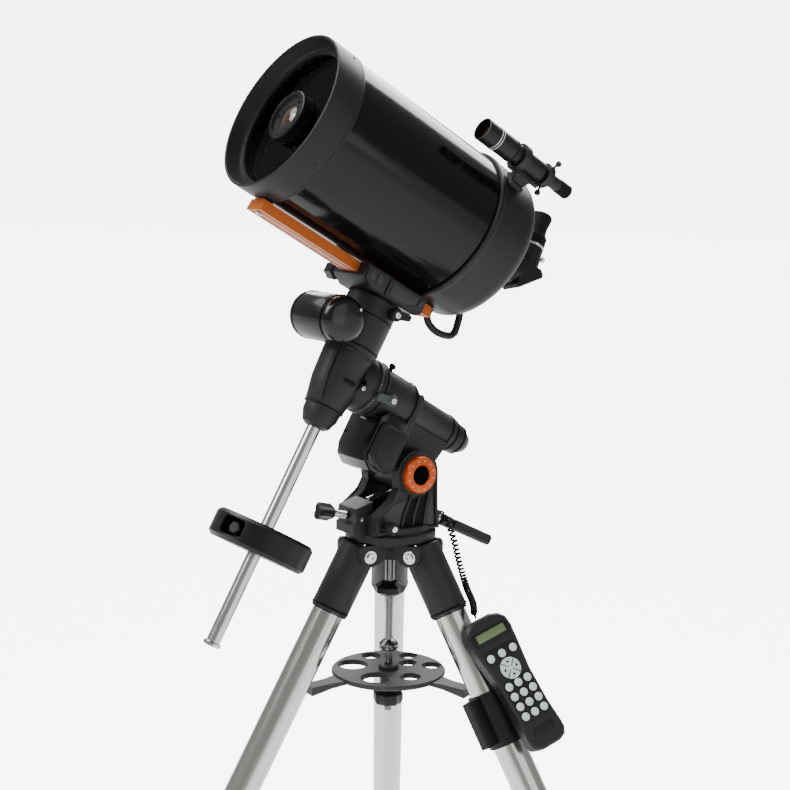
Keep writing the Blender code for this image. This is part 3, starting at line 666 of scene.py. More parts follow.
def curly(route, radius):
    """A helix round a route: straight at both ends, stretched near the top and close below."""
    line = smooth_path(route, 24)
    sides = carried_sides(line)
    lengths = [0.0]
    for one, two in zip(line, line[1:]):
        lengths.append(lengths[-1] + (two - one).length)
    whole = lengths[-1]
    points = []
    turns = 0.0
    for i, (point, (one, two)) in enumerate(zip(line[:-1], sides)):
        span = lengths[i + 1] - lengths[i]
        closing = min(1.0, lengths[i] / whole * 1.5)
        pitch = PITCH_FIRST - (PITCH_FIRST - PITCH_LAST) * closing
        stops = max(1, math.ceil(span / pitch * 16.0))
        for stop in range(stops):
            t = stop / stops
            far = lengths[i] + span * t
            ends = (far - STRAIGHT_END, whole - far - STRAIGHT_END)
            open_by = max(0.0, min(1.0, min(ends) / EASE))
            open_by = open_by * open_by * (3.0 - 2.0 * open_by)
            a = 2.0 * math.pi * turns
            points.append(
                point.lerp(line[i + 1], t) + (one * math.cos(a) + two * math.sin(a)) * radius * open_by,
            )
            turns += span / stops / pitch * open_by * open_by
    points.append(line[-1])
    return points


wire = curly(CORD_ROUTE, COIL)
cord = piece("handset_cord_coil", tube(wire, WIRE, BASE, 8), RUBBER, None, sharp=60.0)
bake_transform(cord)
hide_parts("handset_cord")
PLUG = BASE @ shift(64.3, -20.0, 805.0) @ ALONG_X
piece(
    "cord_plug",
    [
        prism(rounded(8.4, 9.2, 1.0), 0.0, 6.4, PLUG, 0.4),
        turned(((0.0, 6.0), (3.4, 6.0), (2.9, 8.4), (3.1, 9.0), (2.4, 11.0), (0.0, 11.0)), PLUG, 24),
    ],
    PLASTIC,
    "mount_base",
)

# ---------------------------------------------------------------- optical tube
tube_shell = turned(((111.2, -58.0), (113.0, -58.0), (113.0, 222.0), (111.2, 222.0)), ALONG_X, 160, True)
shell = piece("tube_shell", tube_shell, TUBE_PAINT, "optical_tube", OPTICS)
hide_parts("optical_tube")
FRONT = (
    (113.3, 213.6),
    (114.9, 213.6),
    (115.8, 214.4),
    (116.0, 215.4),
    (116.0, 218.0),
    (115.6, 218.4),
    (115.6, 219.0),
    (116.0, 219.4),
    (116.0, 259.8),
    (115.5, 261.1),
    (114.5, 261.6),
    (113.0, 261.6),
    (112.2, 261.0),
    (111.9, 259.6),
    (107.6, 244.5),
    (106.6, 241.5),
    (105.4, 240.0),
    (101.6, 239.0),
    (101.6, 236.9),
    (103.8, 236.9),
    (103.8, 222.3),
    (113.3, 222.3),
)
front = piece(
    "front_ring",
    turned(FRONT, ALONG_X, 160, True),
    CELL,
    "optical_tube",
    OPTICS,
)
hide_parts("front_cell")
RETAINER = ((98.0, 237.0), (104.8, 239.2), (104.8, 240.6), (98.6, 240.4))
piece(
    "corrector_ring",
    [turned(RETAINER, ALONG_X, 128, True)] + ring_of(
        lambda f: screw(f, 1.7, 1.0),
        8,
        101.8,
        ALONG_X,
        22.5,
        240.4,
    ),
    PLASTIC,
    "optical_tube",
    OPTICS,
)
piece(
    "front_ring_screws",
    ring_of(lambda f: screw(f @ ALONG_X, 2.0, 1.0), 8, 115.9, ALONG_X, 11.0, 229.0),
    GREY,
    "optical_tube",
    OPTICS,
)
LINING = (
    (109.6, 222.0),
    (103.4, 223.0),
    (103.4, 231.0),
    (102.8, 231.0),
    (102.8, 221.6),
    (109.0, 220.6),
    (109.0, -58.0),
    (109.6, -58.0),
)
piece("tube_lining", turned(LINING, ALONG_X, 128, True), BORE, "optical_tube", OPTICS)
SECONDARY = (
    (0.0, 245.2),
    (17.0, 245.2),
    (17.6, 246.4),
    (29.6, 246.6),
    (30.4, 250.0),
    (31.6, 251.0),
    (34.6, 251.0),
    (36.3, 249.6),
    (36.5, 247.5),
    (36.5, 240.2),
    (36.0, 239.0),
    (36.5, 238.0),
    (36.5, 237.2),
    (0.0, 237.2),
)
piece(
    "secondary_holder",
    [turned(SECONDARY, ALONG_X, 72)] + ring_of(lambda f: screw(f, 2.2, 1.6), 3, 23.6, ALONG_X, 30.0, 246.5),
    PLASTIC,
    "optical_tube",
    OPTICS,
)
piece(
    "secondary_eye",
    turned(
        ((0.0, 249.4), (6.0, 248.9), (11.0, 247.6), (15.5, 245.6), (16.6, 245.3), (0.0, 245.3)),
        ALONG_X,
        56,
    ),
    LENS,
    "optical_tube",
    OPTICS,
)
REAR = (
    (113.4, -49.0),
    (116.4, -49.0),
    (117.6, -49.8),
    (118.0, -51.0),
    (118.0, -57.4),
    (117.4, -58.8),
    (116.2, -59.8),
    (116.0, -61.0),
    (116.0, -110.0),
    (115.3, -115.5),
    (113.4, -120.5),
    (110.4, -125.4),
    (106.5, -128.8),
    (101.0, -131.0),
    (94.0, -132.0),
    (70.0, -132.6),
    (50.0, -133.0),
    (40.0, -134.4),
    (31.0, -137.4),
    (27.0, -139.6),
    (25.6, -143.0),
    (25.0, -148.0),
    (25.0, -157.0),
    (24.2, -158.0),
    (17.6, -158.0),
    (17.6, -126.0),
    (109.5, -126.0),
    (109.5, -58.4),
    (113.4, -58.4),
)
rear = piece("rear_shell", turned(REAR, ALONG_X, 160, True), CELL, "optical_tube", OPTICS)
BAFFLE = ((17.6, -126.0), (19.6, -126.0), (19.6, 60.0), (17.6, 60.0))
piece("baffle_tube", turned(BAFFLE, ALONG_X, 48, True), BORE, "optical_tube", OPTICS)
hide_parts("rear_cell")
piece(
    "rear_screws",
    ring_of(lambda f: screw(f @ turn(180.0, "Y"), 2.4, 1.4), 6, 60.0, ALONG_X, 30.0, -132.6),
    CHROME,
    "optical_tube",
    OPTICS,
)

HANDLE = (
    (-93.0, -116.6),
    (-93.0, -126.0),
    (-98.0, -134.0),
    (-110.0, -139.5),
    (-126.0, -140.5),
    (-143.0, -136.0),
    (-149.0, -130.0),
    (-150.0, -122.0),
    (-145.5, -101.0),
    (-140.0, -95.5),
    (-132.8, -95.5),
)
grip = piece(
    "carry_handle_grip",
    tube(smooth_path([Vector((x, 0.0, z)) for x, z in HANDLE], 6), 5.4, OPTICS, 24),
    PLASTIC,
    "optical_tube",
    sharp=50.0,
)
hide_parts("carry_handle")

# ---------------------------------------------------------------- dovetail bar and saddle
FLAT = turn(90.0, "X")  # XY of an outline becomes XZ, and its height -Y


def near(outline, low, high, where, bevel=0.4):
    """A plate on the near side: an outline in XZ from low to high along +Y."""
    return prism(outline, -high, -low, where @ FLAT, bevel)


# Dark strips in the darker cast finish stand for the dovetail's grooves: painted shade in the grooves.
piece(
    "dovetail_groove_painted_shade",
    [
        box((x, y, -134.25), (x + length, y + 2.2, -133.9), OPTICS)
        for y in (-11.6, 9.4)
        for x, length in ((-84.0, 24.0), (62.0, 168.0))
    ],
    CAST_DARK,
    "optical_tube",
)
piece(
    "dovetail_bolts",
    [screw(OPTICS @ shift(222.0, 0.0, -134.0) @ turn(180.0, "X"), 4.6, 2.6)]
    + [
        screw(OPTICS @ shift(222.0, sign * 11.0, -119.0) @ turn(sign * -40.0, "X"), 2.2, 1.6)
        for sign in (1.0, -1.0)
    ],
    CHROME,
    "optical_tube",
)
JAW = ((14.0, 117.0), (-30.0, 117.0), (-52.0, 126.0), (-55.0, 143.4), (14.0, 143.4))
FRONT_JAW = ((17.6, 117.0), (40.0, 117.0), (53.5, 124.6), (55.5, 143.4), (17.6, 143.4))
for side in (1.0, -1.0):
    place = "near" if side > 0 else "far"
    face = POLAR if side > 0 else POLAR @ Matrix.Scale(-1.0, 4, (0.0, 1.0, 0.0))
    piece(
        f"saddle_jaw_{place}",
        [near(JAW, 39.0, 41.2, face, 0.7), near(FRONT_JAW, 39.0, 41.2, face, 0.7)],
        CAST,
        "saddle",
    )
    # The grips and gussets take the paler cast finish: painted light on their flat faces.
    piece(
        f"saddle_grips_{place}",
        [
            near(((x, 126.0), (x + 8.4, 128.2), (x + 8.4, 141.0), (x, 138.8)), 41.0, 42.2, face, 0.5)
            for x in (27.0, 40.0)
        ],
        CAST_PAINTED_LIGHT,
        "saddle",
    )
    piece(
        f"saddle_gusset_{place}",
        [
            near(
                ((7.0, 121.0), (-22.0, 121.0), (-40.0, 130.0), (-40.0, 139.5), (7.0, 139.5)),
                41.0,
                41.9,
                face,
                0.4,
            ),
            near(((-43.0, 129.0), (-50.0, 131.5), (-51.5, 140.0), (-44.5, 140.0)), 41.0, 42.4, face, 0.4),
        ],
        CAST_PAINTED_LIGHT,
        "saddle",
    )
for name, x in (("front", 38.0), ("rear", -38.0)):
    knob = POLAR @ shift(x, -39.0, 135.0) @ turn(90.0, "X")
    piece(
        f"saddle_knob_{name}_cap",
        [turned(((0.0, 45.2), (6.2, 45.2), (6.8, 44.4), (6.8, 42.9), (0.0, 42.9)), knob, 40)],
        CHROME,
        f"saddle_knob_{name}",
    )

# ---------------------------------------------------------------- declination head
piece(
    "dec_seams",
    [
        turned(((38.4, 85.6), (39.0, 86.0), (39.0, 87.4), (38.4, 87.8)), POLAR, 96, True),
        turned(((28.2, -56.4), (29.3, -56.0), (29.4, -54.6), (28.6, -54.2)), POLAR, 96, True),
        turned(((37.6, 38.0), (38.9, 39.6), (38.9, 41.0), (38.2, 41.4)), POLAR, 96, True),
        turned(((37.9, 112.2), (38.7, 112.0), (38.7, 113.6), (37.6, 114.2)), POLAR, 96, True),
    ],
    CAST_DARK,
    "declination_head",
)
piece(
    "dec_panel",
    [
        rib(((30.5, 29.0), (-22.0, 29.0)), 3.0, -38.4, -34.0, POLAR @ FLAT),
        rib(((33.6, 27.0), (31.5, -8.0), (24.5, -50.0)), 2.4, -22.0, -16.0, POLAR @ FLAT),
    ],
    CAST,
    "declination_head",
)
# A thin dark plate stands for the slot: painted shade in the slot.
piece(
    "dec_slot_painted_shade",
    near(rounded(20.0, 6.0, 2.9, (1.0, -12.0)), 35.2, 36.6, POLAR, 0.3),
    CAST_DARK,
    "declination_head",
)
piece(
    "dec_small_screws",
    [
        screw(POLAR @ shift(48.8, 57.6, 78.4) @ turn(-90.0, "X"), 2.0, 1.2),
        screw(POLAR @ shift(-24.0, 34.6, -9.7) @ turn(-90.0, "X"), 3.2, 2.0),
    ],
    CHROME,
    "declination_head",
)
piece(
    "dec_index",
    turned(
        ((0.0, 3.0), (2.4, 3.0), (3.6, 1.6), (3.6, 0.0), (0.0, 0.0)),
        POLAR @ shift(-22.0, 34.0, -2.0) @ turn(-90.0, "X"),
        24,
    ),
    BORE,
    "declination_head",
)
COVER_AT = POLAR @ shift(60.0, 0.0, 56.0) @ ALONG_Y
piece(
    "dec_cover_trim",
    [
        turned(((33.9, 37.4), (34.6, 37.8), (34.6, 39.4), (33.4, 39.8)), COVER_AT, 96, True),
        turned(((34.0, -36.0), (34.5, -35.6), (34.5, -34.4), (33.9, -34.0)), COVER_AT, 96, True),
    ],
    CAST_DARK,
    "declination_head",
)
piece(
    "dec_cover_shell",
    turned(
        (
            (0.0, 58.9),
            (12.0, 58.7),
            (21.0, 57.9),
            (26.4, 55.6),
            (29.6, 53.0),
            (32.0, 48.6),
            (32.9, 45.6),
            (32.9, 41.0),
            (30.0, 41.0),
            (30.0, 40.0),
            (0.0, 40.0),
        ),
        COVER_AT,
        96,
    ),
    COVER,
    "declination_head",
)
piece(
    "dec_lever_screw",
    screw(POLAR @ shift(-14.0, 51.0, 101.0) @ turn(-90.0, "X"), 4.4, 2.0),
    CHROME,
    "dec_lock_lever",
)

# ---------------------------------------------------------------- polar housing
piece(
    "ra_seams",
    [
        turned(((41.2, -57.6), (42.1, -57.2), (42.1, -55.8), (41.2, -55.4)), POLAR @ ALONG_X, 96, True),
        turned(((37.9, -118.8), (38.6, -117.8), (38.9, -116.0), (38.0, -115.6)), POLAR @ ALONG_X, 96, True),
        turned(((26.9, -205.0), (27.7, -204.6), (27.9, -203.0), (26.8, -202.6)), POLAR @ ALONG_X, 72, True),
    ],
    CAST_DARK,
    "polar_housing",
)
DIAL = POLAR @ ALONG_X
piece(
    "ra_dial_marks",
    [
        box(
            (0.0, -0.22, -44.6 - (2.6 if i % 5 == 0 else 1.5)),
            (0.25, 0.22, -44.6),
            DIAL @ turn(5.0 * i, "Z") @ shift(41.42, 0.0, 0.0),
        )
        for i in range(72)
    ],
    MARKS,
    "polar_housing",
)
piece(
    "ra_top_knob",
    [
        turned(
            ((0.0, 9.0), (4.2, 9.0), (5.0, 8.0), (5.0, 3.4), (3.2, 2.6), (3.2, -1.0), (0.0, -1.0)),
            POLAR @ shift(-70.0, 8.0, 37.6) @ turn(-12.0, "X"),
            36,
            False,
            (8, 0.7, 4.0),
        ),
    ],
    CAST_DARK,
    "polar_housing",
)
piece(
    "ra_top_screw",
    screw(POLAR @ shift(-70.0, 8.0, 37.6) @ turn(-12.0, "X") @ shift(0.0, 0.0, 9.0), 2.6, 1.2),
    CHROME,
    "polar_housing",
)
piece(
    "ra_lever_screw",
    screw(POLAR @ shift(-69.0, 50.0, -6.0) @ turn(-90.0, "X"), 4.2, 2.0),
    CHROME,
    "ra_lock_lever",
)
COVER_FIELD = (
    (-113.0, -41.0),
    (-80.0, -42.0),
    (-77.0, -45.0),
    (-77.0, -85.0),
    (-82.0, -91.5),
    (-99.0, -97.0),
    (-108.5, -94.5),
    (-113.0, -88.0),
)
piece(
    "side_cover_field",
    near(COVER_FIELD, 52.6, 54.2, POLAR, 0.7),
    PLASTIC,
    "polar_housing",
)
piece(
    "ra_body_rib",
    [
        near(
            ((-128.0, 20.0), (-122.0, 26.0), (-116.0, 24.0), (-116.0, -34.0), (-128.0, -40.0)),
            30.0,
            36.4,
            POLAR,
            1.4,
        ),
    ],
    CAST,
    "polar_housing",
)
piece(
    "polar_cap_trim",
    [
        turned(((24.4, -214.0), (25.0, -214.6), (25.0, -217.0), (24.2, -217.6)), DIAL, 80, True),
        turned(((20.6, -236.4), (22.0, -234.8), (22.6, -231.6), (21.8, -231.0)), DIAL, 80, True),
    ],
    CAST_DARK,
    "polar_scope_cap",
)
piece(
    "ra_motor_ports",
    [box((x, 14.0, -107.6), (x + 8.0, 23.0, -100.0), POLAR, 0.6) for x in (-112.0, -100.0)]
    + [
        turned(
            ((0.0, 1.2), (2.0, 1.2), (2.6, 0.0), (0.0, 0.0)),
            POLAR @ shift(-70.2, y, -64.0) @ turn(90.0, "Y"),
            24,
        )
        for y in (-30.0, 30.0)
    ],
    CAST_DARK,
    "polar_housing",
)

# ---------------------------------------------------------------- mount base
YOKE = BASE @ FLAT  # XY is X and world Z here, and height runs to -Y, the near side
PANEL_SIDES = {"near": YOKE, "far": BASE @ Matrix.Scale(-1.0, 4, (0.0, 1.0, 0.0)) @ FLAT}
RIM = [
    (13.0 + 33.0 * math.cos(math.radians(a)), 873.0 + 33.0 * math.sin(math.radians(a)))
    for a in range(0, 181, 12)
]
EDGE = [(49.0, 795.0), (47.0, 815.0), (46.0, 846.0)] + RIM + [
    (-17.0, 856.0),
    (-26.5, 839.0),
    (-54.0, 818.5),
    (-54.5, 795.0),
]
for place, face in PANEL_SIDES.items():
    piece(
        f"yoke_ribs_{place}",
        [
            rib(EDGE, 4.2, 45.8, 49.2, face),
            rib(
                [
                    (13.0 + 30.5 * math.cos(math.radians(a)), 873.0 + 30.5 * math.sin(math.radians(a)))
                    for a in range(180, 361, 12)
                ],
                3.4,
                45.8,
                48.6,
                face,
            ),
            rib(((-12.0, 853.0), (-36.0, 833.0), (-50.0, 819.0)), 3.0, 45.8, 48.0, face),
            rib(((3.0, 843.0), (-9.0, 817.0), (-14.0, 793.0)), 4.0, 45.8, 49.0, face),
            rib(((18.0, 842.0), (8.0, 815.0), (5.0, 793.0)), 4.0, 45.8, 49.0, face),
            rib(((35.0, 849.0), (28.0, 820.0), (24.5, 793.0)), 4.0, 45.8, 49.0, face),
            rib(((-55.0, 793.5), (50.0, 793.5)), 3.4, 45.8, 49.2, face),
        ],
        CAST,
        "mount_base",
    )
    # Thin plates in the paler cast finish: painted light on the flat panels between the ribs.
    piece(
        f"yoke_painted_light_panels_{place}",
        [
            prism(
                (
                    (-2.0, 838.0),
                    (-28.0, 831.0),
                    (-44.0, 818.0),
                    (-30.0, 797.0),
                    (-18.0, 797.0),
                    (-12.0, 818.0),
                ),
                46.0,
                46.5,
                face,
            ),
            prism(
                ((39.0, 846.0), (42.5, 820.0), (44.5, 797.0), (30.0, 797.0), (33.0, 820.0)),
                46.0,
                46.5,
                face,
            ),
        ],
        CAST_PAINTED_LIGHT,
        "mount_base",
    )
    # Thin plates in the darker cast finish: painted shade in the recesses between the ribs.
    piece(
        f"yoke_painted_recess_shade_{place}",
        [
            prism(
                ((2.5, 838.0), (14.0, 838.0), (4.0, 815.0), (1.0, 797.0), (-9.0, 797.0), (-5.0, 817.0)),
                46.0,
                46.4,
                face,
            ),
            prism(
                ((22.0, 840.0), (32.0, 842.0), (24.5, 820.0), (21.0, 797.0), (9.5, 797.0), (12.5, 817.0)),
                46.0,
                46.4,
                face,
            ),
        ],
        CAST_DARK,
        "mount_base",
    )
    sign = 1.0 if place == "near" else -1.0
    boss = BASE @ shift(13.0, 0.0, 873.0) @ turn(sign * 90.0, "X")
    piece(
        f"altitude_centre_{place}",
        turned(
            ((0.0, 57.6), (9.0, 57.6), (10.4, 57.0), (13.2, 57.0), (13.4, 56.4), (13.4, 55.8), (0.0, 55.8)),
            boss,
            56,
        ),
        BORE,
        "mount_base",
    )
    piece(
        f"altitude_cap_studs_{place}",
        ring_of(
            lambda f: turned(((0.0, 0.9), (0.7, 0.8), (1.1, 0.3), (1.1, -0.3), (0.0, -0.3)), f, 16),
            12,
            21.0,
            boss,
            15.0,
            58.0,
        ),
        MARKS,
        "mount_base",
    )
    ring = ((26.6, 46.4), (30.6, 46.4), (31.4, 47.4), (31.4, 50.4), (30.6, 51.4), (28.2, 51.4))
    piece(f"altitude_collar_{place}", turned(ring, boss, 80, True), CAST, "mount_base")
    knob = BASE @ shift(-40.0, 0.0, 803.0) @ turn(sign * 90.0, "X")
    piece(
        f"azimuth_knob_{place}_face",
        turned(((0.0, 71.2), (3.6, 71.2), (4.4, 70.4), (4.4, 69.8), (0.0, 69.8)), knob, 32),
        CHROME,
        f"azimuth_knob_{place}",
    )
piece(
    "azimuth_bolt_tips",
    [
        turned(
            ((0.0, 5.0), (2.2, 5.0), (3.0, 4.2), (3.0, 0.0), (0.0, 0.0)),
            BASE @ shift(-66.0, sign * 23.0, 812.0) @ turn(-sign * 90.0, "X"),
            28,
        )
        for sign in (-1.0, 1.0)
    ],
    CHROME,
    "mount_base",
)
piece(
    "altitude_bolt",
    [
        turned(
            ((0.0, 42.0), (3.0, 42.0), (3.6, 41.0), (3.6, 0.0), (0.0, 0.0)),
            BASE @ shift(-42.0, 0.0, 833.0) @ axis_along(0.959, 0.0, 0.283),
            32,
        ),
    ],
    CHROME,
    "mount_base",
)
THREAD = [(0.0, 2.0)]
for i in range(20):
    THREAD += [(5.0, 2.0 + 1.05 * i), (5.45, 2.3 + 1.05 * i), (5.45, 2.6 + 1.05 * i), (5.0, 2.9 + 1.05 * i)]
THREAD += [(0.0, 24.0)]
FRONT_SCREW = BASE @ shift(-76.0, 0.0, 815.0) @ axis_along(-0.974, 0.0, 0.225)
REAR_SCREW = BASE @ shift(66.0, 0.0, 801.0) @ axis_along(0.9, 0.0, -0.436)
piece(
    "altitude_screw_front_thread",
    turned(THREAD, FRONT_SCREW, 40),
    CHROME,
    "altitude_screw_front",
)
piece("altitude_screw_rear_thread", turned(THREAD, REAR_SCREW, 40), CHROME, "altitude_screw_rear")
piece(
    "base_seam",
    turned(((58.2, 779.0), (59.0, 779.6), (59.0, 781.2), (58.0, 781.8)), BASE, 96, True),
    CAST_DARK,
    "mount_base",
)

# ---------------------------------------------------------------- tripod
for name, angle in LEG_ANGLES.items():
    head = BASE @ turn(angle, "Z")
    bolts, rings = [], []
    for side in (1.0, -1.0):
        seat = head @ shift(53.0, side * 36.6, 757.0) @ turn(-side * 90.0, "X")
        bolts += [
            turned(
                ((0.0, 2.2), (3.2, 2.2), (3.6, 4.4), (6.0, 4.4), (6.8, 3.6), (6.8, 1.2), (0.0, 1.2)),
                seat,
                6,
            ),
            washer(seat, 5.0, 9.6, 1.2),
        ]
    piece(f"pivot_bolts_{name}", bolts, CHROME, "tripod")
    piece(
        f"socket_trim_{name}",
        [
            turned(((27.6, -93.0), (28.5, -92.4), (28.5, -90.8), (27.8, -90.2)), LEGS[name], 72, True),
            turned(((23.3, -96.4), (26.4, -96.4), (26.4, -98.2), (23.3, -98.2)), LEGS[name], 72, True),
        ],
        CAST_DARK,
        "tripod",
    )
    piece(
        f"collar_trim_{name}",
        [
            turned(((23.4, -744.0), (24.6, -744.0), (24.6, -746.0), (23.4, -746.0)), LEGS[name], 72, True),
        ],
        CAST_DARK,
        "tripod",
    )

# ---------------------------------------------------------------- tray
HOLES = ((-36.0, 41.0, 22.0), (-39.0, -28.0, 23.0), (5.0, -50.0, 15.0), (61.0, -24.0, 14.5))
HOLES += ((38.0, 4.0, 13.5), (58.0, 32.0, 13.5), (10.0, 61.0, 14.5))
RIM_EDGE = ((0.0, -6.6), (0.0, 0.3), (0.5, 0.6), (1.4, 0.3), (1.4, -1.0), (0.8, -1.0), (0.8, -6.6))
# The hole rims are darker black plastic than the grey tray: painted shade inside the holes.
piece(
    "tray_hole_rims",
    [
        turned([(r - 0.6 + out, up) for out, up in RIM_EDGE], BASE @ shift(x, y, TRAY_TOP), 48, True)
        for x, y, r in HOLES
    ],
    PLASTIC,
    "accessory_tray",
)
piece(
    "tray_hub",
    [
        turned(((0.0, 527.0), (6.0, 527.0), (7.0, 528.0), (7.0, 531.0), (0.0, 531.0)), BASE, 6),
    ],
    CHROME,
    "tray_knob",
)

# ---------------------------------------------------------------- counterweight
BAND = ((10.9, -238.9), (16.0, -238.9), (17.0, -239.4), (17.0, -240.0), (10.9, -240.0))
piece("weight_bushing", turned(BAND, POLAR, 56, True), CHROME, "counterweight")

# ---------------------------------------------------------------- finder
FX = FINDER @ ALONG_X
piece(
    "finder_lens",
    turned(((0.0, 20.4), (8.0, 19.8), (14.3, 18.2), (14.3, 15.0), (0.0, 15.0)), FX, 56),
    LENS,
    "optical_tube",
)
piece(
    "finder_rings",
    [
        turned(((16.7, 6.0), (17.1, 6.2), (17.1, 7.4), (16.7, 7.6)), FX, 72, True),
        turned(((16.5, 2.0), (16.95, 2.2), (16.95, 3.2), (16.5, 3.4)), FX, 72, True),
    ],
    MARKS,
    "optical_tube",
)
piece(
    "finder_grips",
    [
        turned(
            (
                (9.3, -146.0 + 3.4 * i),
                (10.3, -145.4 + 3.4 * i),
                (10.3, -143.6 + 3.4 * i),
                (9.3, -143.0 + 3.4 * i),
            ),
            FX,
            48,
            True,
        )
        for i in range(6)
    ]
    + [turned(((14.8, -30.0), (16.5, -29.4), (16.9, -27.4), (16.2, -26.6)), FX, 64, True)],
    RUBBER,
    "optical_tube",
)
ADJUST = ((0.0, 0.0), (1.7, 0.0), (1.7, 6.0), (3.6, 7.4), (4.2, 8.2), (4.2, 12.6), (3.4, 13.4), (0.0, 13.4))
piece(
    "finder_adjusters",
    [
        turned(
            ADJUST,
            FX @ turn(a, "Z") @ shift(17.0, 0.0, -97.0) @ turn(90.0, "Y"),
            32,
            False,
            (10, 0.5, 3.0),
        )
        for a in (50.0, -50.0, 180.0)
    ],
    PLASTIC,
    "optical_tube",
)
piece(
    "finder_eye",
    turned(((0.0, -147.6), (5.4, -147.4), (7.8, -147.2), (8.2, -146.4), (0.0, -146.4)), FX, 40),
    LENS,
    "optical_tube",
)

# ---------------------------------------------------------------- diagonal, eyepiece, focus knob
piece(
    "diagonal_screws",
    [
        turned(
            (
                (0.0, 0.0),
                (1.8, 0.0),
                (1.8, 5.0),
                (4.2, 6.0),
                (4.6, 7.0),
                (4.6, 11.0),
                (3.8, 12.0),
                (0.0, 12.0),
            ),
            f,
            40,
            False,
            (12, 0.5, 3.0),
        )
        for f in (
            DIAGONAL @ shift(-223.0, 0.0, 46.0) @ turn(-90.0, "Y") @ shift(0.0, 0.0, 17.0),
            OPTICS @ shift(-151.0, 0.0, 0.0) @ turn(-60.0, "X") @ shift(0.0, 0.0, 24.6),
        )
    ],
    CHROME,
    "star_diagonal",
)
EX = DIAGONAL @ shift(-223.0, 0.0, 0.0)
piece(
    "diagonal_trim",
    [
        turned(((17.4, 52.6), (18.1, 53.0), (18.1, 56.2), (17.4, 56.8)), EX, 64, True),
        turned(
            ((15.9, -159.0), (16.4, -159.0), (16.4, -158.2), (15.9, -158.2)),
            OPTICS @ ALONG_X,
            64,
            True,
        ),
    ],
    CHROME,
    "star_diagonal",
)
piece(
    "eyepiece_grip",
    [
        turned(
            (
                (17.4, 58.6 + 2.2 * i),
                (18.2, 58.9 + 2.2 * i),
                (18.2, 60.0 + 2.2 * i),
                (17.4, 60.3 + 2.2 * i),
            ),
            EX,
            56,
            True,
        )
        for i in range(6)
    ],
    RUBBER,
    "eyepiece",
)
piece(
    "eyepiece_lens",
    turned(((0.0, 102.6), (5.0, 102.3), (9.4, 101.3), (9.4, 100.4), (0.0, 100.4)), EX, 48),
    LENS,
    "eyepiece",
)
FOCUS = OPTICS @ shift(0.0, -55.0, -30.0) @ ALONG_X
piece(
    "focus_knob_ribs",
    [
        box((13.3, -0.7, -153.6), (14.1, 0.7, -138.6), FOCUS @ turn(12.0 * i, "Z"), 0.25, 1)
        for i in range(30)
    ],
    RUBBER,
    "focus_knob",
)
piece(
    "handle_screws",
    [
        screw(OPTICS @ shift(x, 0.0, z) @ turn(a, "Y"), 3.0, 2.0)
        for x, z, a in ((-93.0, -127.5, 200.0), (-151.0, -122.0, -95.0))
    ],
    CHROME,
    "optical_tube",
)

# ---------------------------------------------------------------- hand controller
# XY is the hand controller's front face, and Z leaves it.
FACE = HAND @ Matrix(((0, 0, 1, 0), (1, 0, 0, 0), (0, 1, 0, 0), (0, 0, 0, 1)))
piece(
    "handset_face",
    [
        prism(((-20.0, -60.0), (20.0, -60.0), (21.0, 0.2), (-21.0, 0.2)), 0.1, 0.9, FACE, 0.35),
        prism(
            ((-24.8, 34.2), (24.8, 34.2), (26.0, 44.0), (24.5, 51.0), (-24.5, 51.0), (-26.0, 44.0)),
            0.1,
            0.9,
            FACE,
            0.35,
        ),
        prism(rounded(59.0, 19.6, 4.0, (0.0, 71.5)), 0.1, 1.1, FACE, 0.45),
        prism(rounded(34.0, 12.0, 5.0, (0.0, -76.0)), 0.1, 0.6, FACE, 0.25),
    ],
    PLASTIC,
    "handset",
)
piece(
    "handset_screen",
    prism(rounded(47.0, 11.6, 1.2, (0.0, 71.5)), 1.0, 1.4, FACE, 0.15),
    SCREEN,
    "handset",
)
KEY = ((0.0, 2.9), (3.0, 2.8), (4.8, 2.3), (5.7, 1.5), (6.0, 0.7), (0.0, 0.7))
places = [(-19.0 + 19.0 * c, 40.5) for c in range(3)]
places += [(-15.8 + 15.8 * c, -5.0 - 15.3 * row) for row in range(4) for c in range(3)]
keys = piece(
    "handset_keys",
    [turned(KEY, FACE @ shift(x, y, 0.0), 32) for x, y in places],
    KEYS,
    "handset",
)
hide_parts("keypad")
# Dark rings round the keys: painted shade in the gaps round them.
piece(
    "key_well_painted_shade",
    [
        turned(((6.1, 0.8), (7.2, 0.8), (7.0, 1.3), (6.4, 1.3)), FACE @ shift(x, y, 0.0), 32, True)
        for x, y in places
    ],
    CAST_DARK,
    "handset",
)
PAD = FACE @ shift(0.0, 17.2, 0.0)
piece(
    "pad_marks",
    [box((-0.5, 2.6, 2.5), (0.5, 15.2, 3.5), PAD @ turn(45.0 + 90.0 * i, "Z")) for i in range(4)]
    + [
        prism(((-2.6, 8.4), (2.6, 8.4), (0.0, 11.8)), 2.6, 3.5, PAD @ turn(90.0 * i, "Z"))
        for i in range(4)
    ],
    CAST_DARK,
    "direction_pad",
)
piece(
    "handset_slots",
    [prism(rounded(7.0, 2.8, 1.3, (x, -100.6)), -14.0, -9.0, FACE) for x in (-7.0, 5.0)],
    MARKS,
    "handset",
)
piece(
    "handset_sides",
    [prism(rounded(3.0, 44.0, 1.4, (x, -30.0)), -20.0, -7.0, FACE, 0.5) for x in (-26.6, 26.6)],
    RUBBER,
    "handset",
)

# ---------------------------------------------------------------- floor, lights, world
FLOOR_SEEN, SKY_SEEN = 5.6, 6.4  # strengths that only the camera sees, for a pale background
SKY_LIGHT = 0.34

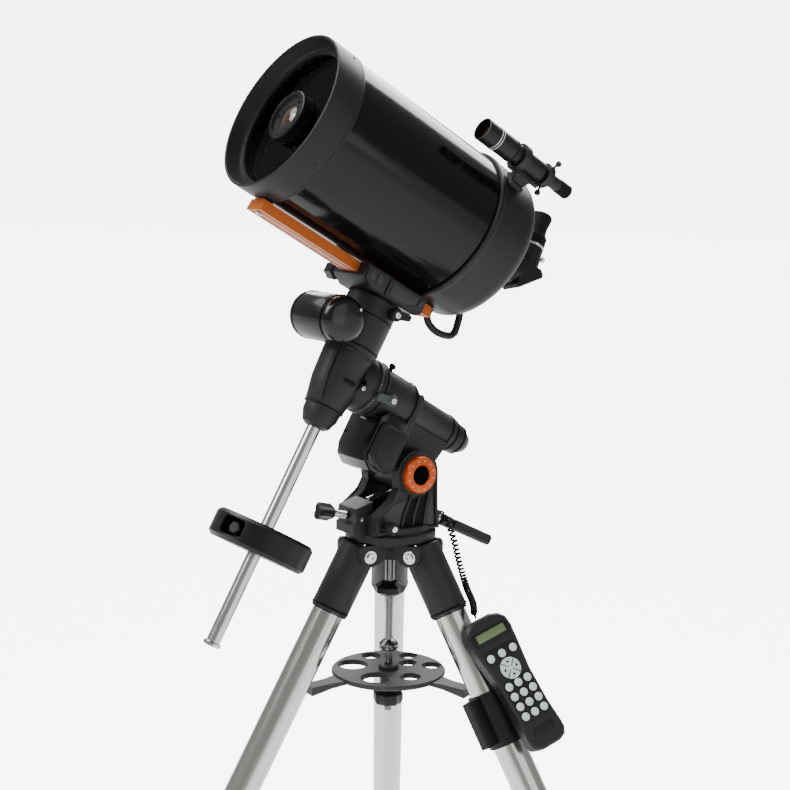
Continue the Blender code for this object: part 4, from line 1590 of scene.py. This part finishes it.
ground = bmesh.new()
bmesh.ops.create_circle(ground, cap_ends=True, radius=30.0, segments=96)
floor_mesh = bpy.data.meshes.new("floor")
ground.to_mesh(floor_mesh)
ground.free()
floor = bpy.data.objects.new("floor", floor_mesh)
floor.location.z = -0.0005
bpy.context.scene.collection.objects.link(floor)
FLOOR = surface("floor_pale", (0.93, 0.93, 0.93), 0.8, grain=3.0, relief=0.0, drift=0.01, broad=1.0)
lift = FLOOR.node_tree.nodes.new("ShaderNodeLightPath")
glow = FLOOR.node_tree.nodes.new("ShaderNodeMapRange")
glow.inputs["To Max"].default_value = FLOOR_SEEN
FLOOR.node_tree.links.new(lift.outputs["Is Camera Ray"], glow.inputs["Value"])
FLOOR.node_tree.links.new(
    glow.outputs["Result"],
    FLOOR.node_tree.nodes["Principled BSDF"].inputs["Emission Strength"],
)
FLOOR.node_tree.nodes["Principled BSDF"].inputs["Emission Color"].default_value = (0.97, 0.98, 0.99, 1.0)
floor_mesh.materials.append(FLOOR)

world = bpy.data.worlds.new("world")
world.use_nodes = True
sky = world.node_tree
seen = sky.nodes.new("ShaderNodeLightPath")
tone = sky.nodes.new("ShaderNodeMapRange")
tone.inputs["To Min"].default_value = SKY_LIGHT
tone.inputs["To Max"].default_value = SKY_SEEN
sky.links.new(seen.outputs["Is Camera Ray"], tone.inputs["Value"])
sky.nodes["Background"].inputs["Color"].default_value = (0.95, 0.96, 0.97, 1.0)
sky.links.new(tone.outputs["Result"], sky.nodes["Background"].inputs["Strength"])
bpy.context.scene.world = world


def light(name, place, target, size, power, colour=(1.0, 1.0, 1.0)):
    lamp = bpy.data.lights.new(name, "AREA")
    lamp.shape = "RECTANGLE"
    lamp.size, lamp.size_y = size
    lamp.energy = power
    lamp.color = colour
    made = bpy.data.objects.new(name, lamp)
    made.location = place
    made.rotation_euler = (Vector(target) - Vector(place)).to_track_quat("-Z", "Y").to_euler()
    bpy.context.scene.collection.objects.link(made)


light("key", (-1.9, 0.5, 3.4), (0.0, 0.0, 1.1), (1.6, 2.8), 105.0)
light("fill", (0.4, -3.4, 1.9), (0.0, 0.0, 1.0), (3.0, 3.0), 30.0)
light("back", (1.7, 1.6, 3.0), (0.0, 0.0, 1.2), (2.8, 2.2), 150.0)
sun = bpy.data.lights.new("overhead", "SUN")
sun.energy = 2.6
sun.angle = math.radians(60.0)
overhead = bpy.data.objects.new("overhead", sun)
overhead.rotation_euler = (math.radians(-14.0), math.radians(-18.0), 0.0)
bpy.context.scene.collection.objects.link(overhead)
